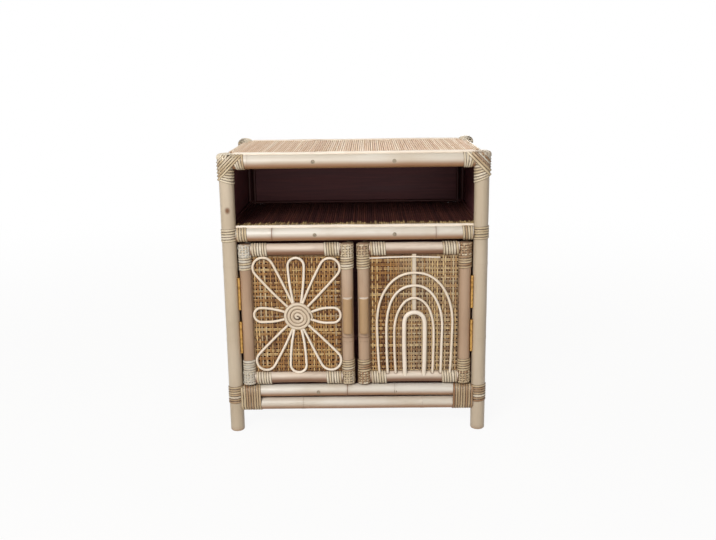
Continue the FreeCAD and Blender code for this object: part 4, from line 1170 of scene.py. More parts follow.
@dataclass
class PoleFrame:
    """Posts, rails and battens of the cabinet, with the putty over their screws."""

    batten_r: float = 10.0
    putty_r: float = 4.2
    putty_proud: float = 0.22
    shelf_rings: tuple[Ring, ...] = (Ring(-170.0, 1.0), Ring(167.0, 0.7))
    base_rings: tuple[Ring, ...] = (Ring(-20.0, 0.9), Ring(81.0, 0.25))
    lower_rings: tuple[Ring, ...] = (Ring(-115.0, 0.3), Ring(140.0, 0.12))
    post_rings: tuple[Ring, ...] = (Ring(-92.0, 0.05), Ring(68.0, 0.06))
    back_rings: tuple[Ring, ...] = (Ring(-40.0, 0.3), Ring(170.0, 0.25))
    post_scar: Scar = Scar(483.0, (0.1, -1.0, 0.0), 6.6, 5.0, 1.0)
    post_rounding: float = 4.0
    base_bow: float = 1.4
    bow_at_screw: float = 0.9
    filler_r: float = 2.8
    filler_back: float = 6.0

    PUTTY_DEPTHS = np.array((2.2, 0.2, 0.1, 0.03, 0.0))
    PUTTY_SIZES = np.array((1.0, 1.0, 0.92, 0.6, 0.25))

    def posts(self) -> list[Pole]:
        """The four corner posts."""
        hinge_high = node_box("hinge_frame_leaves")[1]
        made = []
        for side in Side:
            sign = side.value
            front = Pole(f"post_front_{side.word}", UP, self.post_rings, rounding=self.post_rounding,
                         tone=0.66)
            front.seat_leaves(sign * hinge_high[0], -sign)
            if side is Side.LEFT:
                front.scars = (self.post_scar,)
            made.append(front)
            made.append(Pole(f"post_back_{side.word}", UP, self.back_rings, rounding=self.post_rounding,
                             inside=unit(np.array((-sign, -1.0, 0.0))), tone=0.55))
        return made

    def rails(self) -> list[Pole]:
        """Every rail of the cabinet."""
        made = [
            Pole("top_rail_front", RIGHT, (Ring(-215.0, 0.2),), tone=0.24),
            Pole("top_rail_back", RIGHT, (Ring(60.0, 0.4),), inside=FRONT, tone=0.25),
            Pole("shelf_rail_front", RIGHT, self.shelf_rings, tone=0.06),
            Pole("shelf_rail_back", RIGHT, (Ring(-80.0, 0.4),), inside=FRONT, tone=0.3),
            Pole("base_rail_front_upper", RIGHT, self.base_rings, bow=UP * self.base_bow, tone=0.05),
            Pole("base_rail_front_lower", RIGHT, self.lower_rings, tone=0.22),
            Pole("base_rail_back", RIGHT, (Ring(120.0, 0.4),), inside=FRONT, tone=0.3),
        ]
        for side in Side:
            for level, ring in (("top", 30.0), ("shelf", -45.0), ("base", 12.0)):
                made.append(Pole(f"{level}_rail_{side.word}", BACK, (Ring(ring * side.value, 0.4),),
                                 inside=RIGHT * -side.value, tone=0.3))
        return made

    def battens(self, material: Material) -> None:
        """Round battens under the decks, as one piece.

        Args:
            material: Finish of the poles.
        """
        mesh = CaneMesh("deck_battens_cane", 71)
        points = np.array([v.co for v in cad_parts["deck_battens"].data.vertices]) / MM
        x_place = points[:, 0].max() - self.batten_r
        for level in ("top_board", "shelf_board", "floor_board"):
            bottom = node_box(level)[0][2]
            near = points[(points[:, 2] < bottom + 1) & (points[:, 2] > bottom - 2 * self.batten_r - 1)]
            for sign in (-1, 1):
                y = np.linspace(near[:, 1].min(), near[:, 1].max(), 40)
                path = np.array((sign * x_place, 0.0, bottom - self.batten_r)) + y[:, None] * BACK
                mesh.sweep(path, UP, circle(self.batten_r, 32), size=1 + mesh.wander(y, 0.008, 50.0),
                           stain=0.75)
        mesh.finish(Body.CABINET, Slot.BOARD, material, "deck_battens")

    def putty(self, material: Material) -> None:
        """Low discs of putty over the screws in the front and back rails.

        Args:
            material: Finish of the putty.
        """
        x_place = node_box("deck_battens")[1][0] - self.batten_r
        mesh = CaneMesh("screw_putty", 72)
        rails = {"top": "top_board", "shelf": "shelf_board", "base": "floor_board"}
        for level, board in rails.items():
            height = node_box(board)[0][2] - self.batten_r
            for end, face in (("front", -1.0), ("back", 1.0)):
                bowed = (level, end) == ("base", "front")
                name = "base_rail_front_upper" if bowed else f"{level}_rail_{end}"
                middle, _, radius = Pole(name, RIGHT).centre_line()
                rise = self.base_bow * self.bow_at_screw if bowed else 0.0
                tilt = math.asin((height - middle[2]) / radius)
                out = np.array((0.0, face * math.cos(tilt), math.sin(tilt)))
                for sign in (-1, 1):
                    top = middle + np.array((sign * x_place, 0.0, rise)) + out * (radius + self.putty_proud)
                    path = top - out * self.PUTTY_DEPTHS[:, None]
                    points = mesh.sweep(path, RIGHT, circle(self.putty_r, 24), size=self.PUTTY_SIZES)
                    away = (points - top) @ np.cross(out, RIGHT)
                    points -= (radius - np.sqrt(radius ** 2 - away ** 2))[..., None] * out
        mesh.finish(Body.CABINET, Slot.STEEL, material)

    def filler(self, material: Material) -> None:
        """Cane that closes the gap between the two front base rails from behind, wholly in the dark stain,
        which is painted shade in the gap.

        Args:
            material: Finish of the poles.
        """
        upper, half, _ = Pole("base_rail_front_upper", RIGHT).centre_line()
        lower = Pole("base_rail_front_lower", RIGHT).centre_line()[0]
        mesh = CaneMesh("base_rail_filler_cane", 73)
        x = np.linspace(-half, half, 60)
        path = (upper + lower) / 2 + BACK * self.filler_back + x[:, None] * RIGHT
        mesh.sweep(path, UP, circle(self.filler_r, 16), size=1 + mesh.wander(x, 0.02, 40.0), stain=1.0)
        mesh.finish(Body.CABINET, Slot.BOARD, material)

    def build(self, pole: Material, putty: Material) -> None:
        """Make every pole, the filler and the putty.

        Args:
            pole: Finish of the poles.
            putty: Finish of the putty.
        """
        for number, made in enumerate(self.posts() + self.rails()):
            made.make(Body.CABINET, Slot.POLE, pole, 100 + number)
        self.battens(pole)
        self.filler(pole)
        self.putty(putty)


@dataclass
class FrameBindings:
    """Bindings at the post heads, the shelf joints and the base joints."""

    head_band: float = 49.0
    head_drop: float = 4.0
    head_clear: float = 1.0
    rail_band: float = 22.0
    base_band: float = 42.4
    base_clear: float = -3.0
    base_post_band: float = 38.0
    clear: float = 2.4
    head_tilt: float = 6.0
    rail_tilt: float = 5.0
    lash_offsets: tuple[float, ...] = (-11.0, -6.0, -1.0, 4.0, 9.0, 13.8)
    grey_offsets: tuple[float, ...] = (-12.0, -8.2, -4.4, -0.6)
    wide_offsets: tuple[float, ...] = (4.6, 10.8)
    wide_strip: float = 6.0
    grey_tones: tuple[tuple[float, float], ...] = ((0.45, 0.5), (1.1, 0.0), (0.35, 0.45), (1.1, 0.1))
    grey_strip: float = 3.4
    lash_strip: float = 4.6
    wide_lift: float = 0.3
    side_sink: float = 0.9
    side_offsets: tuple[float, ...] = (-4.0, 1.0, 6.0, 11.0)
    cap_offsets: tuple[float, ...] = (-12.6, -9.0, -4.5, 0.0, 4.5, 9.0, 12.6)
    cap_rise: tuple[tuple[str, float], ...] = (("front", 3.2), ("back", 8.0))
    grey_cap: tuple[float, float] = (0.7, 0.35)
    base_pale_turn: float = 2.5
    tones: tuple[tuple[str, float], ...] = (("top", 0.3), ("shelf", 0.4), ("base", 0.72))

    def build(self, material: Material) -> None:
        """Make the three groups of bindings.

        Args:
            material: Finish of the strips.
        """
        for number, (level, tone) in enumerate(self.tones):
            mesh = Binding(f"bindings_{level}_cane", 200 + number)
            for end in ("front", "back"):
                for side in Side:
                    self._post(mesh, level, end, side, tone)
                    self._rails(mesh, level, end, side, tone)
                    if level == "top":
                        self._corner(mesh, end, side)
            mesh.finish(Body.CABINET, Slot.BINDING, material, f"bindings_{level}")

    def _post(self, mesh: Binding, level: str, end: str, side: Side, tone: float) -> None:
        """Band round one post at one level.

        Args:
            mesh: Mesh that gets the strips.
            level: Level of the joint.
            end: Front or back.
            side: Left or right.
            tone: Usual tone of the strip.
        """
        middle, half, radius = Pole(f"post_{end}_{side.word}", UP).centre_line()
        foot = middle - UP * half
        inside = BACK if end == "front" else FRONT
        tilt = None
        pale_turn = None
        if level == "top":
            length = self.head_band
            top = 2 * half - self.head_drop
            tilt = RIGHT * side.value * self.head_tilt
        elif level == "shelf":
            low, high = node_box("shelf_rail_front")
            length = high[2] - low[2]
            top = (low[2] + high[2] + STRIP.turns(length) * STRIP.pitch + STRIP.width) / 2
        elif end == "front":
            length = self.base_post_band
            top = node_box("bindings_base")[1][2]
            pale_turn = self.base_pale_turn
        else:
            low, high = node_box("base_rail_front_upper")
            length = high[2] - low[2]
            top = high[2]
        start = top - STRIP.turns(length) * STRIP.pitch - STRIP.width / 2
        mesh.wind(foot + UP * start, UP, radius, length, inside, tone=tone, tilt=tilt, pale_turn=pale_turn)

    def _rails(self, mesh: Binding, level: str, end: str, side: Side, tone: float) -> None:
        """Bands round the rails at one joint.

        Args:
            mesh: Mesh that gets the strips.
            level: Level of the joint.
            end: Front or back.
            side: Left or right.
            tone: Usual tone of the strip.
        """
        post, _, post_r = Pole(f"post_{end}_{side.word}", UP).centre_line()
        inward = RIGHT * -side.value
        inside = BACK if end == "front" else FRONT
        double = level == "base" and end == "front"
        name = "base_rail_front_upper" if double else f"{level}_rail_{end}"
        rail, _, rail_r = Pole(name, RIGHT).centre_line()
        clear = self.base_clear if double else self.clear
        edge = np.array((post[0], rail[1], rail[2])) + inward * (post_r + clear)
        if double:
            lower = node_box("base_rail_front_lower")
            span = rail[2] - (lower[0][2] + lower[1][2]) / 2
            mesh.wind_pair(edge - UP * span / 2, inward, rail_r, self.base_band, span, tone)
        else:
            tilt = UP * -self.rail_tilt if level == "top" else None
            mesh.wind(edge, inward, rail_r, self.rail_band, inside, tone=tone, tilt=tilt)
        side_rail, _, side_r = Pole(f"{level}_rail_{side.word}", BACK).centre_line()
        side_edge = np.array((side_rail[0], post[1], side_rail[2])) + inside * (post_r + self.clear)
        mesh.wind(side_edge, inside, side_r, self.rail_band, inward, tone=tone)

    def _corner(self, mesh: Binding, end: str, side: Side) -> None:
        """Lashing over a top corner and its post head: cream at the left, grey and wide at the right.

        Args:
            mesh: Mesh that gets the strips.
            end: Front or back.
            side: Left or right.
        """
        post, half, post_r = Pole(f"post_{end}_{side.word}", UP).centre_line()
        inward = RIGHT * -side.value
        inside = BACK if end == "front" else FRONT
        rail, _, rail_r = Pole(f"top_rail_{end}", RIGHT).centre_line()
        side_rail, _, side_r = Pole(f"top_rail_{side.word}", BACK).centre_line()
        head = 2 * half - rail[2] + self.head_clear
        front = Joint(np.array((post[0], post[1], rail[2])), -UP, inward, -inside, post_r, rail_r)
        if side is Side.LEFT:
            for offset in self.lash_offsets:
                mesh.lash(front, offset, LAYER, head, reach=0.97, width=self.lash_strip, tone=0.5)
        else:
            for offset, (tone, grey) in zip(self.grey_offsets, self.grey_tones):
                mesh.lash(front, offset, LAYER, head, reach=0.96, width=self.grey_strip, tone=tone,
                          grey=grey)
            for offset in self.wide_offsets:
                mesh.lash(front, offset, LAYER + self.wide_lift, head, reach=0.95, width=self.wide_strip,
                          tone=0.35)
        flank = Joint(np.array((post[0], post[1], side_rail[2])), -UP, inside, -inward, post_r, side_r)
        flank_head = 2 * half - side_rail[2] + self.head_clear
        for offset in self.side_offsets:
            mesh.lash(flank, offset, LAYER - self.side_sink, flank_head, reach=0.8)
        tone, grey = self.grey_cap if side is Side.RIGHT and end == "front" else (0.0, 0.0)
        for offset in self.cap_offsets:
            mesh.cap(post + UP * half, unit(inward + inside), post_r, offset, dict(self.cap_rise)[end],
                     tone, grey)


@dataclass
class Decks:
    """Strip mats of the top and the shelf, with the trims along their edges and the beads beside them."""

    strip_pitch: float = 4.6
    strip_width: float = 4.25
    strip_height: float = 2.7
    trim_r: float = 3.5
    trim_seat: float = 2.0
    post_clear: float = 2.2
    band_half: float = 7.0
    band_reach: float = 42.0
    pale_hidden: float = 17.0
    pale_reach: tuple[float, float] = (5.0, 30.0)
    pale_blur: float = 4.0
    pale_share: tuple[float, float] = (0.3, 1.0)
    worn_edge: float = 0.4
    edge_tone: float = 0.2
    bead_r: float = 3.6
    bead_end: float = 6.0

    FRONT_STEPS = np.arange(0.0, 44.0, 4.0)
    REST_START = 46.0
    REST_STEPS = 18
    SEAT = 0.05
    LIFT_DRIFT = (0.12, 60.0)
    SIDE_DRIFT = (0.15, 80.0)
    TONES = (1.7, 1.9)
    TONE_DRIFT = (0.07, 90.0)
    TRIM_LIFT = (0.25, 90.0)
    TRIM_DRIFT = (0.3, 110.0)
    TRIM_END = (0.35, 2.0)

    def mat(self, name: str, material: Material, seed: int, pale_front: float) -> None:
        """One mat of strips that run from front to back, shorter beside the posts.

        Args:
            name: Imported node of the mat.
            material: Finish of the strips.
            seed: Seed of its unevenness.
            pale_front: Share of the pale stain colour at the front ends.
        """
        low, high = node_box(name)
        mesh = CaneMesh(f"{name}_strips", seed)
        post, _, post_r = Pole("post_front_left", UP).centre_line()
        clear = post_r + self.post_clear
        count = round((high[0] - low[0]) / self.strip_pitch)
        columns = low[0] + (np.arange(count) + 0.5) * (high[0] - low[0]) / count
        columns = columns + mesh.random.normal(0.0, 0.12, count)
        profile = CROWN * (1.0, self.strip_height)
        for column in columns:
            beside = abs(post[0]) - abs(column) - self.strip_width / 2
            inset = max(math.sqrt(max(clear ** 2 - beside ** 2, 0.0)) - low[1] + post[1], 0.0)
            if beside < self.band_half:
                inset = self.band_reach
            rest = np.linspace(self.REST_START, high[1] - low[1] - 2 * inset, self.REST_STEPS)
            y = np.concatenate((self.FRONT_STEPS, rest)) + low[1] + inset
            lift = mesh.wander(y, *self.LIFT_DRIFT)
            path = np.stack((column + mesh.wander(y, *self.SIDE_DRIFT), y, low[2] + self.SEAT + lift), -1)
            wide = self.strip_width * mesh.random.normal(1.0, 0.05)
            tones = mesh.random.beta(*self.TONES) + mesh.wander(y, *self.TONE_DRIFT)
            if column in columns[[0, 1, -2, -1]]:
                tones = tones * self.edge_tone
            # Pale front ends, where the dark painted shade of the shelf gives way; the edge shade is cut on
            # such a mat
            pale_until = self.pale_hidden + mesh.random.uniform(*self.pale_reach)
            kept = smooth_step(y - low[1], pale_until - self.pale_blur, pale_until + self.pale_blur)
            ends = pale_front * mesh.random.uniform(*self.pale_share) * (1 - kept)
            edge = CROWN_EDGE * (1 - self.worn_edge * pale_front)
            mesh.sweep(path, UP, profile * (wide, 1.0), edge=edge, strand=tones, stain=ends[:, None])
        mesh.finish(Body.CABINET, Slot.MAT, material, name)

    def trims(self, material: Material) -> None:
        """Round trims on the top front, top back and shelf front rails.

        Args:
            material: Finish of the trims.
        """
        low, high = node_box("edge_trims")
        mesh = CaneMesh("edge_trims_cane", 302)
        for rail in ("top_rail_front", "top_rail_back", "shelf_rail_front"):
            middle, _, radius = Pole(rail, RIGHT).centre_line()
            x = np.linspace(low[0], high[0], 90)
            z = middle[2] + radius - self.trim_seat + self.trim_r + mesh.wander(x, *self.TRIM_LIFT)
            path = np.stack((x, middle[1] + mesh.wander(x, *self.TRIM_DRIFT), z), -1)
            share, fade = self.TRIM_END
            ends = share * sum(np.exp(-((x - end) / fade) ** 2) for end in (x[0], x[-1]))
            mesh.sweep(path, UP, circle(self.trim_r, 18), size=1 - ends, strand=0.1)
        mesh.finish(Body.CABINET, Slot.PEELED, material, "edge_trims")

    def beads(self, material: Material) -> None:
        """Canes along the foot of the shelf's walls and up its back corners, in the shelf strips' dark
        finish, which is painted shade.

        Args:
            material: Finish of the canes, dark with painted shade.
        """
        wall = node_box("back_board")[0]
        inner = node_box("side_board_right")
        floor = node_box("shelf_mat")[1][2]
        roof = node_box("top_board")[0][2]
        post, _, post_r = Pole("post_back_right", UP).centre_line()
        r = self.bead_r
        back_y = wall[1] - r
        side_x = inner[0][0] - r
        corner_y = post[1] - math.sqrt((post_r + r) ** 2 - (post[0] - side_x) ** 2)
        corner_x = post[0] - math.sqrt((post_r + r) ** 2 - (post[1] - back_y) ** 2)
        mesh = CaneMesh("shelf_beads_cane", 303)
        reach = post[0] - self.bead_end
        runs = [((-reach, back_y, floor + r), (reach, back_y, floor + r))]
        for sign in (-1, 1):
            runs.append(((sign * side_x, inner[0][1], floor + r), (sign * side_x, corner_y + r, floor + r)))
            runs.append(((sign * side_x, corner_y, floor - r), (sign * side_x, corner_y, roof)))
            runs.append(((sign * corner_x, back_y, floor - r), (sign * corner_x, back_y, roof)))
        for start, end in runs:
            share = np.linspace(0.0, 1.0, 50)
            path = np.array(start) + share[:, None] * (np.array(end) - np.array(start))
            out = FRONT if abs(end[1] - start[1]) < 1.0 else UP
            mesh.sweep(path, out, circle(r, 14), size=1 + mesh.wander(share, 0.02, 0.15), strand=0.6)
        mesh.finish(Body.CABINET, Slot.BOARD, material)

    def build(self, top: Material, shelf: Material, trim: Material) -> None:
        """Make both mats, the beads and the trims.

        Args:
            top: Finish of the top mat.
            shelf: Finish of the shelf mat.
            trim: Finish of the trims.
        """
        self.mat("top_mat", top, 300, 0.0)
        self.mat("shelf_mat", shelf, 301, 0.9)
        self.beads(shelf)
        self.trims(trim)


@dataclass
class SideWalls:
    """Woven skins on both sides, above and below the shelf rails."""

    weave: Weave = Weave()
    tuck: float = 1.5

    def build(self, material: Material) -> None:
        """Weave both skins.

        Args:
            material: Finish of the strips.
        """
        post, _, post_r = Pole("post_front_left", UP).centre_line()
        back_post = Pole("post_back_left", UP).centre_line()[0]
        for side in Side:
            name = f"side_weave_{side.word}"
            low, high = node_box(name)
            x = (low[0] + high[0]) / 2
            mesh = CaneMesh(f"{name}_strips", 400 + side.value)
            inset = math.sqrt(post_r ** 2 - (abs(x) - abs(post[0])) ** 2) - self.tuck
            width = back_post[1] - post[1] - 2 * inset
            across = BACK * side.value
            start = post[1] + inset if side is Side.RIGHT else back_post[1] - inset
            for lower, upper in (("base", "shelf"), ("shelf", "top")):
                below, _, r = Pole(f"{lower}_rail_{side.word}", BACK).centre_line()
                above = Pole(f"{upper}_rail_{side.word}", BACK).centre_line()[0]
                bottom = below[2] + r - self.tuck
                corner = np.array((x, start, bottom))
                self.weave.fill(mesh, corner, across, width, above[2] - r + self.tuck - bottom, False)
            mesh.finish(Body.CABINET, Slot.WEAVE, material, name)


# Tone and weathered share of the strips at each door corner
CORNER_TONES = {
    (Side.LEFT, "hinge_stile", "top_rail"): (0.4, 0.8),
    (Side.LEFT, "hinge_stile", "bottom_rail"): (0.55, 0.65),
    (Side.LEFT, "meeting_stile", "top_rail"): (0.3, 0.0),
    (Side.LEFT, "meeting_stile", "bottom_rail"): (0.4, 0.1),
    (Side.RIGHT, "meeting_stile", "top_rail"): (0.85, 0.05),
    (Side.RIGHT, "meeting_stile", "bottom_rail"): (0.95, 0.0),
    (Side.RIGHT, "hinge_stile", "top_rail"): (0.95, 0.0),
    (Side.RIGHT, "hinge_stile", "bottom_rail"): (0.6, 0.0),
}


@dataclass
class Door:
    """One woven door: its four poles, bindings, panel and pull."""

    side: Side
    scars: tuple[Scar, ...] = ()
    stile_band: float = 54.0
    rail_band: float = 30.0
    rail_clear: float = 2.4
    rounding: float = 3.0
    pull_r: float = 10.0
    panel_front: float = 4.0
    bow: float = 1.5
    top_bow: float = 0.3
    weave: Weave = Weave()
    tuck: float = 1.2
    hatch_length: float = 27.0
    band_start: float = 0.4
    rail_shade: tuple[float, float] = (-0.85, 0.1)
    meeting_rings: tuple[Ring, ...] = (Ring(-49.0, 0.75), Ring(-58.0, 0.3))

    PULL_STEPS = np.array((0.0, 0.35, 1.0, 2.0))
    PULL_SIZES = (0.93, 0.962, 0.985, 0.997)
    PULL_ROUND = 5.0
    PULL_SEAT = 0.3
    PULL_TONE = 0.62
    PULL_PALE = 0.7
    PULL_DARK = 0.7
    PULL_STAIN = 0.75

    @property
    def prefix(self) -> str:
        """Start of the door's node names."""
        return f"{self.side.word}_door_"

    def pole(self, role: str) -> tuple[np.ndarray, float, float]:
        """Middle, half length and radius of one of the door's poles."""
        run = UP if role.endswith("stile") else RIGHT
        return Pole(self.prefix + role, run).centre_line()

    def poles(self, material: Material) -> None:
        """Make the stiles and rails.

        Args:
            material: Finish of the poles.
        """
        seed = 500 + 20 * self.side.value
        low, high = node_box(self.prefix + "hinge_leaves")
        for number, role in enumerate(("hinge_stile", "meeting_stile", "top_rail", "bottom_rail")):
            pole = Pole(self.prefix + role, UP if role.endswith("stile") else RIGHT, spacing=5.0)
            if pole.upright:
                pole.rounding = self.rounding
            if role == "hinge_stile":
                pole.seat_leaves(low[0] if self.side is Side.RIGHT else high[0], self.side.value)
                pole.tone = 0.66
            elif role == "meeting_stile":
                pole.rings = self.meeting_rings
                pole.tone = 0.48
            else:
                pole.bow = UP * (self.bow if role == "bottom_rail" else self.top_bow)
                pole.shade = self.rail_shade
                pole.tone = 0.06 if self.side is Side.RIGHT else 0.16
                pole.scars = self.scars if role == "bottom_rail" else ()
            pole.make(self.side.body, Slot.DOOR_POLE, material, seed + number)

    def bindings(self, material: Material) -> None:
        """Wind the stile and rail ends, and weave thin strips through the turns at the corners.

        Args:
            material: Finish of the strips.
        """
        mesh = Binding(self.prefix + "bindings_cane", 600 + self.side.value)
        for role in ("hinge_stile", "meeting_stile"):
            stile, half, radius = self.pole(role)
            for rail_role, climb in (("bottom_rail", UP), ("top_rail", -UP)):
                tone, grey = CORNER_TONES[self.side, role, rail_role]
                edge = stile - climb * (half - self.band_start)
                mesh.wind(edge, climb, radius, self.stile_band, BACK, tone=0.3 + 0.3 * tone,
                          grey=0.5 * grey)
                mesh.hatch(edge, climb, radius, self.hatch_length, FRONT, tone, grey)
                rail, _, rail_r = self.pole(rail_role)
                inward = RIGHT * math.copysign(1.0, rail[0] - stile[0])
                start = np.array((stile[0], rail[1], rail[2])) + inward * (radius + self.rail_clear)
                mesh.wind(start, inward, rail_r, self.rail_band, BACK, tone=0.18)
        mesh.finish(self.side.body, Slot.BINDING, material, self.prefix + "bindings")

    def panel(self, material: Material) -> None:
        """Weave the panel between the poles.

        Args:
            material: Finish of the strips.
        """
        ends = sorted((self.pole("hinge_stile")[0][0], self.pole("meeting_stile")[0][0]))
        radius = self.pole("hinge_stile")[2]
        y = self.pole("hinge_stile")[0][1] - self.panel_front + self.weave.lift + self.weave.thickness
        inset = math.sqrt(radius ** 2 - self.panel_front ** 2) - self.tuck
        bottom = self.pole("bottom_rail")[0][2] + inset
        top = self.pole("top_rail")[0][2] - inset
        corner = np.array((ends[0] + inset, y, bottom))
        mesh = CaneMesh(self.prefix + "weave_strips", 700 + self.side.value)
        grey = (0.0, 0.5) if self.side is Side.RIGHT else (0.06, 0.0)
        self.weave.fill(mesh, corner, RIGHT, ends[1] - ends[0] - 2 * inset, top - bottom, True, grey)
        mesh.finish(self.side.body, Slot.WEAVE, material, self.prefix + "weave")

    def pull(self, material: Material) -> None:
        """Half-round pull on the front of the meeting stile, with a painted highlight on its top end and
        painted shadow at its bottom end.

        Args:
            material: Finish of the pull.
        """
        low, high = node_box(self.prefix + "pull")
        stile, _, stile_r = self.pole("meeting_stile")
        cut = stile_r - self.pull_r ** 2 / (2 * stile_r)
        wide = math.sqrt(stile_r ** 2 - cut ** 2)
        start = math.atan2(cut - stile_r, wide)
        arc = np.linspace(start, math.pi - start, 22)
        outer = np.stack((np.cos(arc), np.sin(arc)), -1) * self.pull_r + (0.0, stile_r)
        back = np.linspace(math.pi - math.atan2(cut, wide), math.atan2(cut, wide), 9)[1:-1]
        inner = np.stack((np.cos(back), np.sin(back)), -1) * (stile_r - self.PULL_SEAT)
        profile = np.concatenate((outer, inner))
        length = high[2] - low[2]
        even = np.linspace(self.PULL_ROUND, length - self.PULL_ROUND, 16)
        z = np.concatenate((self.PULL_STEPS, even, length - self.PULL_STEPS[::-1])) + low[2]
        size = np.concatenate((self.PULL_SIZES, np.ones(len(even)), self.PULL_SIZES[::-1]))
        path = np.array((stile[0], stile[1], 0.0)) + z[:, None] * UP
        mesh = CaneMesh(self.prefix + "pull_cane", 800 + self.side.value)
        # Painted highlight on the top end and painted shadow at the bottom end
        tones = self.PULL_TONE - self.PULL_PALE * smooth_step(z, high[2] - 3.0, high[2] - 0.5)
        dark = self.PULL_DARK * (1 - smooth_step(z, low[2], low[2] + 4.0))
        mesh.sweep(path, FRONT, profile, size=size, strand=tones, edge=dark[:, None],
                   stain=np.where(tones > self.PULL_TONE / 2, self.PULL_STAIN, 0.0)[:, None])
        mesh.finish(self.side.body, Slot.DOOR_POLE, material, self.prefix + "pull")

    def build(self, pole: Material, strip: Material, weave: Material) -> None:
        """Make the whole door apart from its ornament.

        Args:
            pole: Finish of the poles and the pull.
            strip: Finish of the bindings.
            weave: Finish of the panel.
        """
        self.poles(pole)
        self.bindings(strip)
        self.panel(weave)
        self.pull(pole)


@dataclass(frozen=True)
class Petal:
    """A cane loop: direction in degrees, distance and radius of its end, half gap and bulge of its legs."""

    angle: float
    distance: float
    end_r: float
    spread: float
    bulge: float


@dataclass
class Flower:
    """Eight cane loops round a coiled centre on the left door."""

    door: Door
    aside: float = 0.95
    drop: float = 1.7
    cane_r: float = 2.55
    coil_r: float = 3.65
    coil_step: float = 7.2
    coil_start: float = 4.5
    coil_turns: float = 3.9
    coil_ease: float = 0.72
    coil_turned: float = 0.9
    coil_rise: float = 1.4
    seat: float = 0.1
    base_r: float = 29.0
    base_tuck: float = 6.0
    petals: tuple[Petal, ...] = (
        Petal(0.8, 74.0, 16.3, 7.8, 3.0), Petal(56.2, 123.5, 21.3, 6.4, 0.8),
        Petal(90.8, 108.0, 17.3, 7.8, 1.6), Petal(123.8, 125.8, 21.6, 6.4, 0.8),
        Petal(178.0, 76.5, 15.6, 8.0, 1.6), Petal(234.9, 120.0, 21.1, 6.4, 0.8),
        Petal(269.4, 107.5, 17.4, 7.6, 1.6), Petal(304.7, 119.8, 21.6, 6.4, 0.8))

    TONES = (0.05, 0.4)
    DRIFT = (0.3, 14.0)
    EASE_PASSES = 4
    COIL_STEPS = 60
    COIL_TAPER = np.linspace(1.0, 0.45, 10)
    COIL_TONE = 0.72
    COIL_DRIFT = (0.15, 0.5)

    def centre(self, forward: float) -> np.ndarray:
        """Middle of the flower, ahead of the weave.

        Args:
            forward: Distance ahead of the weave's front.

        Returns:
            The point.
        """
        stiles = [self.door.pole(role)[0] for role in ("hinge_stile", "meeting_stile")]
        rails = [self.door.pole(role)[0] for role in ("bottom_rail", "top_rail")]
        x = (stiles[0][0] + stiles[1][0]) / 2 + self.aside
        z = (rails[0][2] + rails[1][2]) / 2 - self.drop
        return np.array((x, stiles[0][1] - self.door.panel_front - forward, z))

    def loop(self, petal: Petal, mesh: CaneMesh) -> np.ndarray:
        """Centre line of one loop: legs and a round end, eased into each other.

        Args:
            petal: The loop's sizes.
            mesh: Mesh whose unevenness it takes.

        Returns:
            Points from one foot to the other.
        """
        turn = math.radians(petal.angle)
        out = np.array((math.cos(turn), 0.0, math.sin(turn)))
        aside = np.array((-math.sin(turn), 0.0, math.cos(turn)))
        base = math.sqrt(self.base_r ** 2 - petal.spread ** 2)
        run = petal.distance - base
        touch = math.asin(petal.end_r / math.hypot(run, petal.spread)) - math.atan2(petal.spread, run)
        arc = np.linspace(math.pi / 2 + touch, -math.pi / 2 - touch, 34)
        end = np.stack((petal.distance + petal.end_r * np.cos(arc), petal.end_r * np.sin(arc)), -1)
        leg = np.linspace(0.0, 1.0, 18)[:-1, None]
        first = np.array((base, petal.spread)) * (1 - leg) + end[0] * leg
        first[:, 1] += petal.bulge * np.sin(math.pi * leg[:, 0])
        root = first[0] - np.linspace(self.base_tuck, 1.5, 4)[:, None] * (1.0, 0.15)
        first = np.concatenate((root, first))
        flat = np.concatenate((first, end, (first * (1, -1))[::-1]))
        flat[:, 1] += mesh.wander(np.arange(len(flat), dtype=float), *self.DRIFT)
        for _ in range(self.EASE_PASSES):
            flat[1:-1] = (flat[:-2] + 2 * flat[1:-1] + flat[2:]) / 4
        return self.centre(self.cane_r + self.seat) + flat[:, :1] * out + flat[:, 1:] * aside

    def build(self, material: Material) -> None:
        """Make the loops and the coil.

        Args:
            material: Finish of the canes.
        """
        mesh = CaneMesh("flower_petals_cane", 900)
        for petal in self.petals:
            path = self.loop(petal, mesh)
            mesh.sweep(path, FRONT, circle(self.cane_r, ROUND_SIDES), edge=ROUND_EDGE,
                       strand=mesh.random.uniform(*self.TONES))
        mesh.finish(Body.LEFT_DOOR, Slot.PEELED, material, "flower_petals")
        coil = CaneMesh("flower_spiral_cane", 901)
        turn = np.linspace(0.04, self.coil_turns, int(self.coil_turns * self.COIL_STEPS))
        whole = np.floor(turn)
        reach = self.coil_start + self.coil_step * (whole + smooth_step(turn - whole, self.coil_ease, 1.0))
        reach = reach * smooth_step(turn, -0.25, 0.45)
        angle = 2 * math.pi * turn + self.coil_turned
        rise = self.coil_rise * (1 - turn / self.coil_turns)
        flat = np.stack((reach * np.cos(angle), -rise, -reach * np.sin(angle)), -1)
        ends = np.ones(len(turn))
        ends[-len(self.COIL_TAPER):] = self.COIL_TAPER
        # Painted shade on the sides of the coil's cane, dark in the grooves between its turns
        rim = smooth_step(np.abs(circle(1.0, 18)[:, 0]), 0.5, 0.95)
        path = self.centre(self.coil_r + self.seat) + flat
        coil.sweep(path, FRONT, circle(self.coil_r, 18), size=ends, edge=rim, stain=0.35,
                   strand=self.COIL_TONE + coil.wander(turn, *self.COIL_DRIFT))
        coil.finish(Body.LEFT_DOOR, Slot.PEELED, material, "flower_spiral")


@dataclass(frozen=True)
class Arch:
    """A cane arch: middle, half widths at the spring and the feet, top, rise, squareness and radius."""

    centre: float
    half: float
    foot_half: float
    top: float
    rise: float
    power: float
    cane_r: float


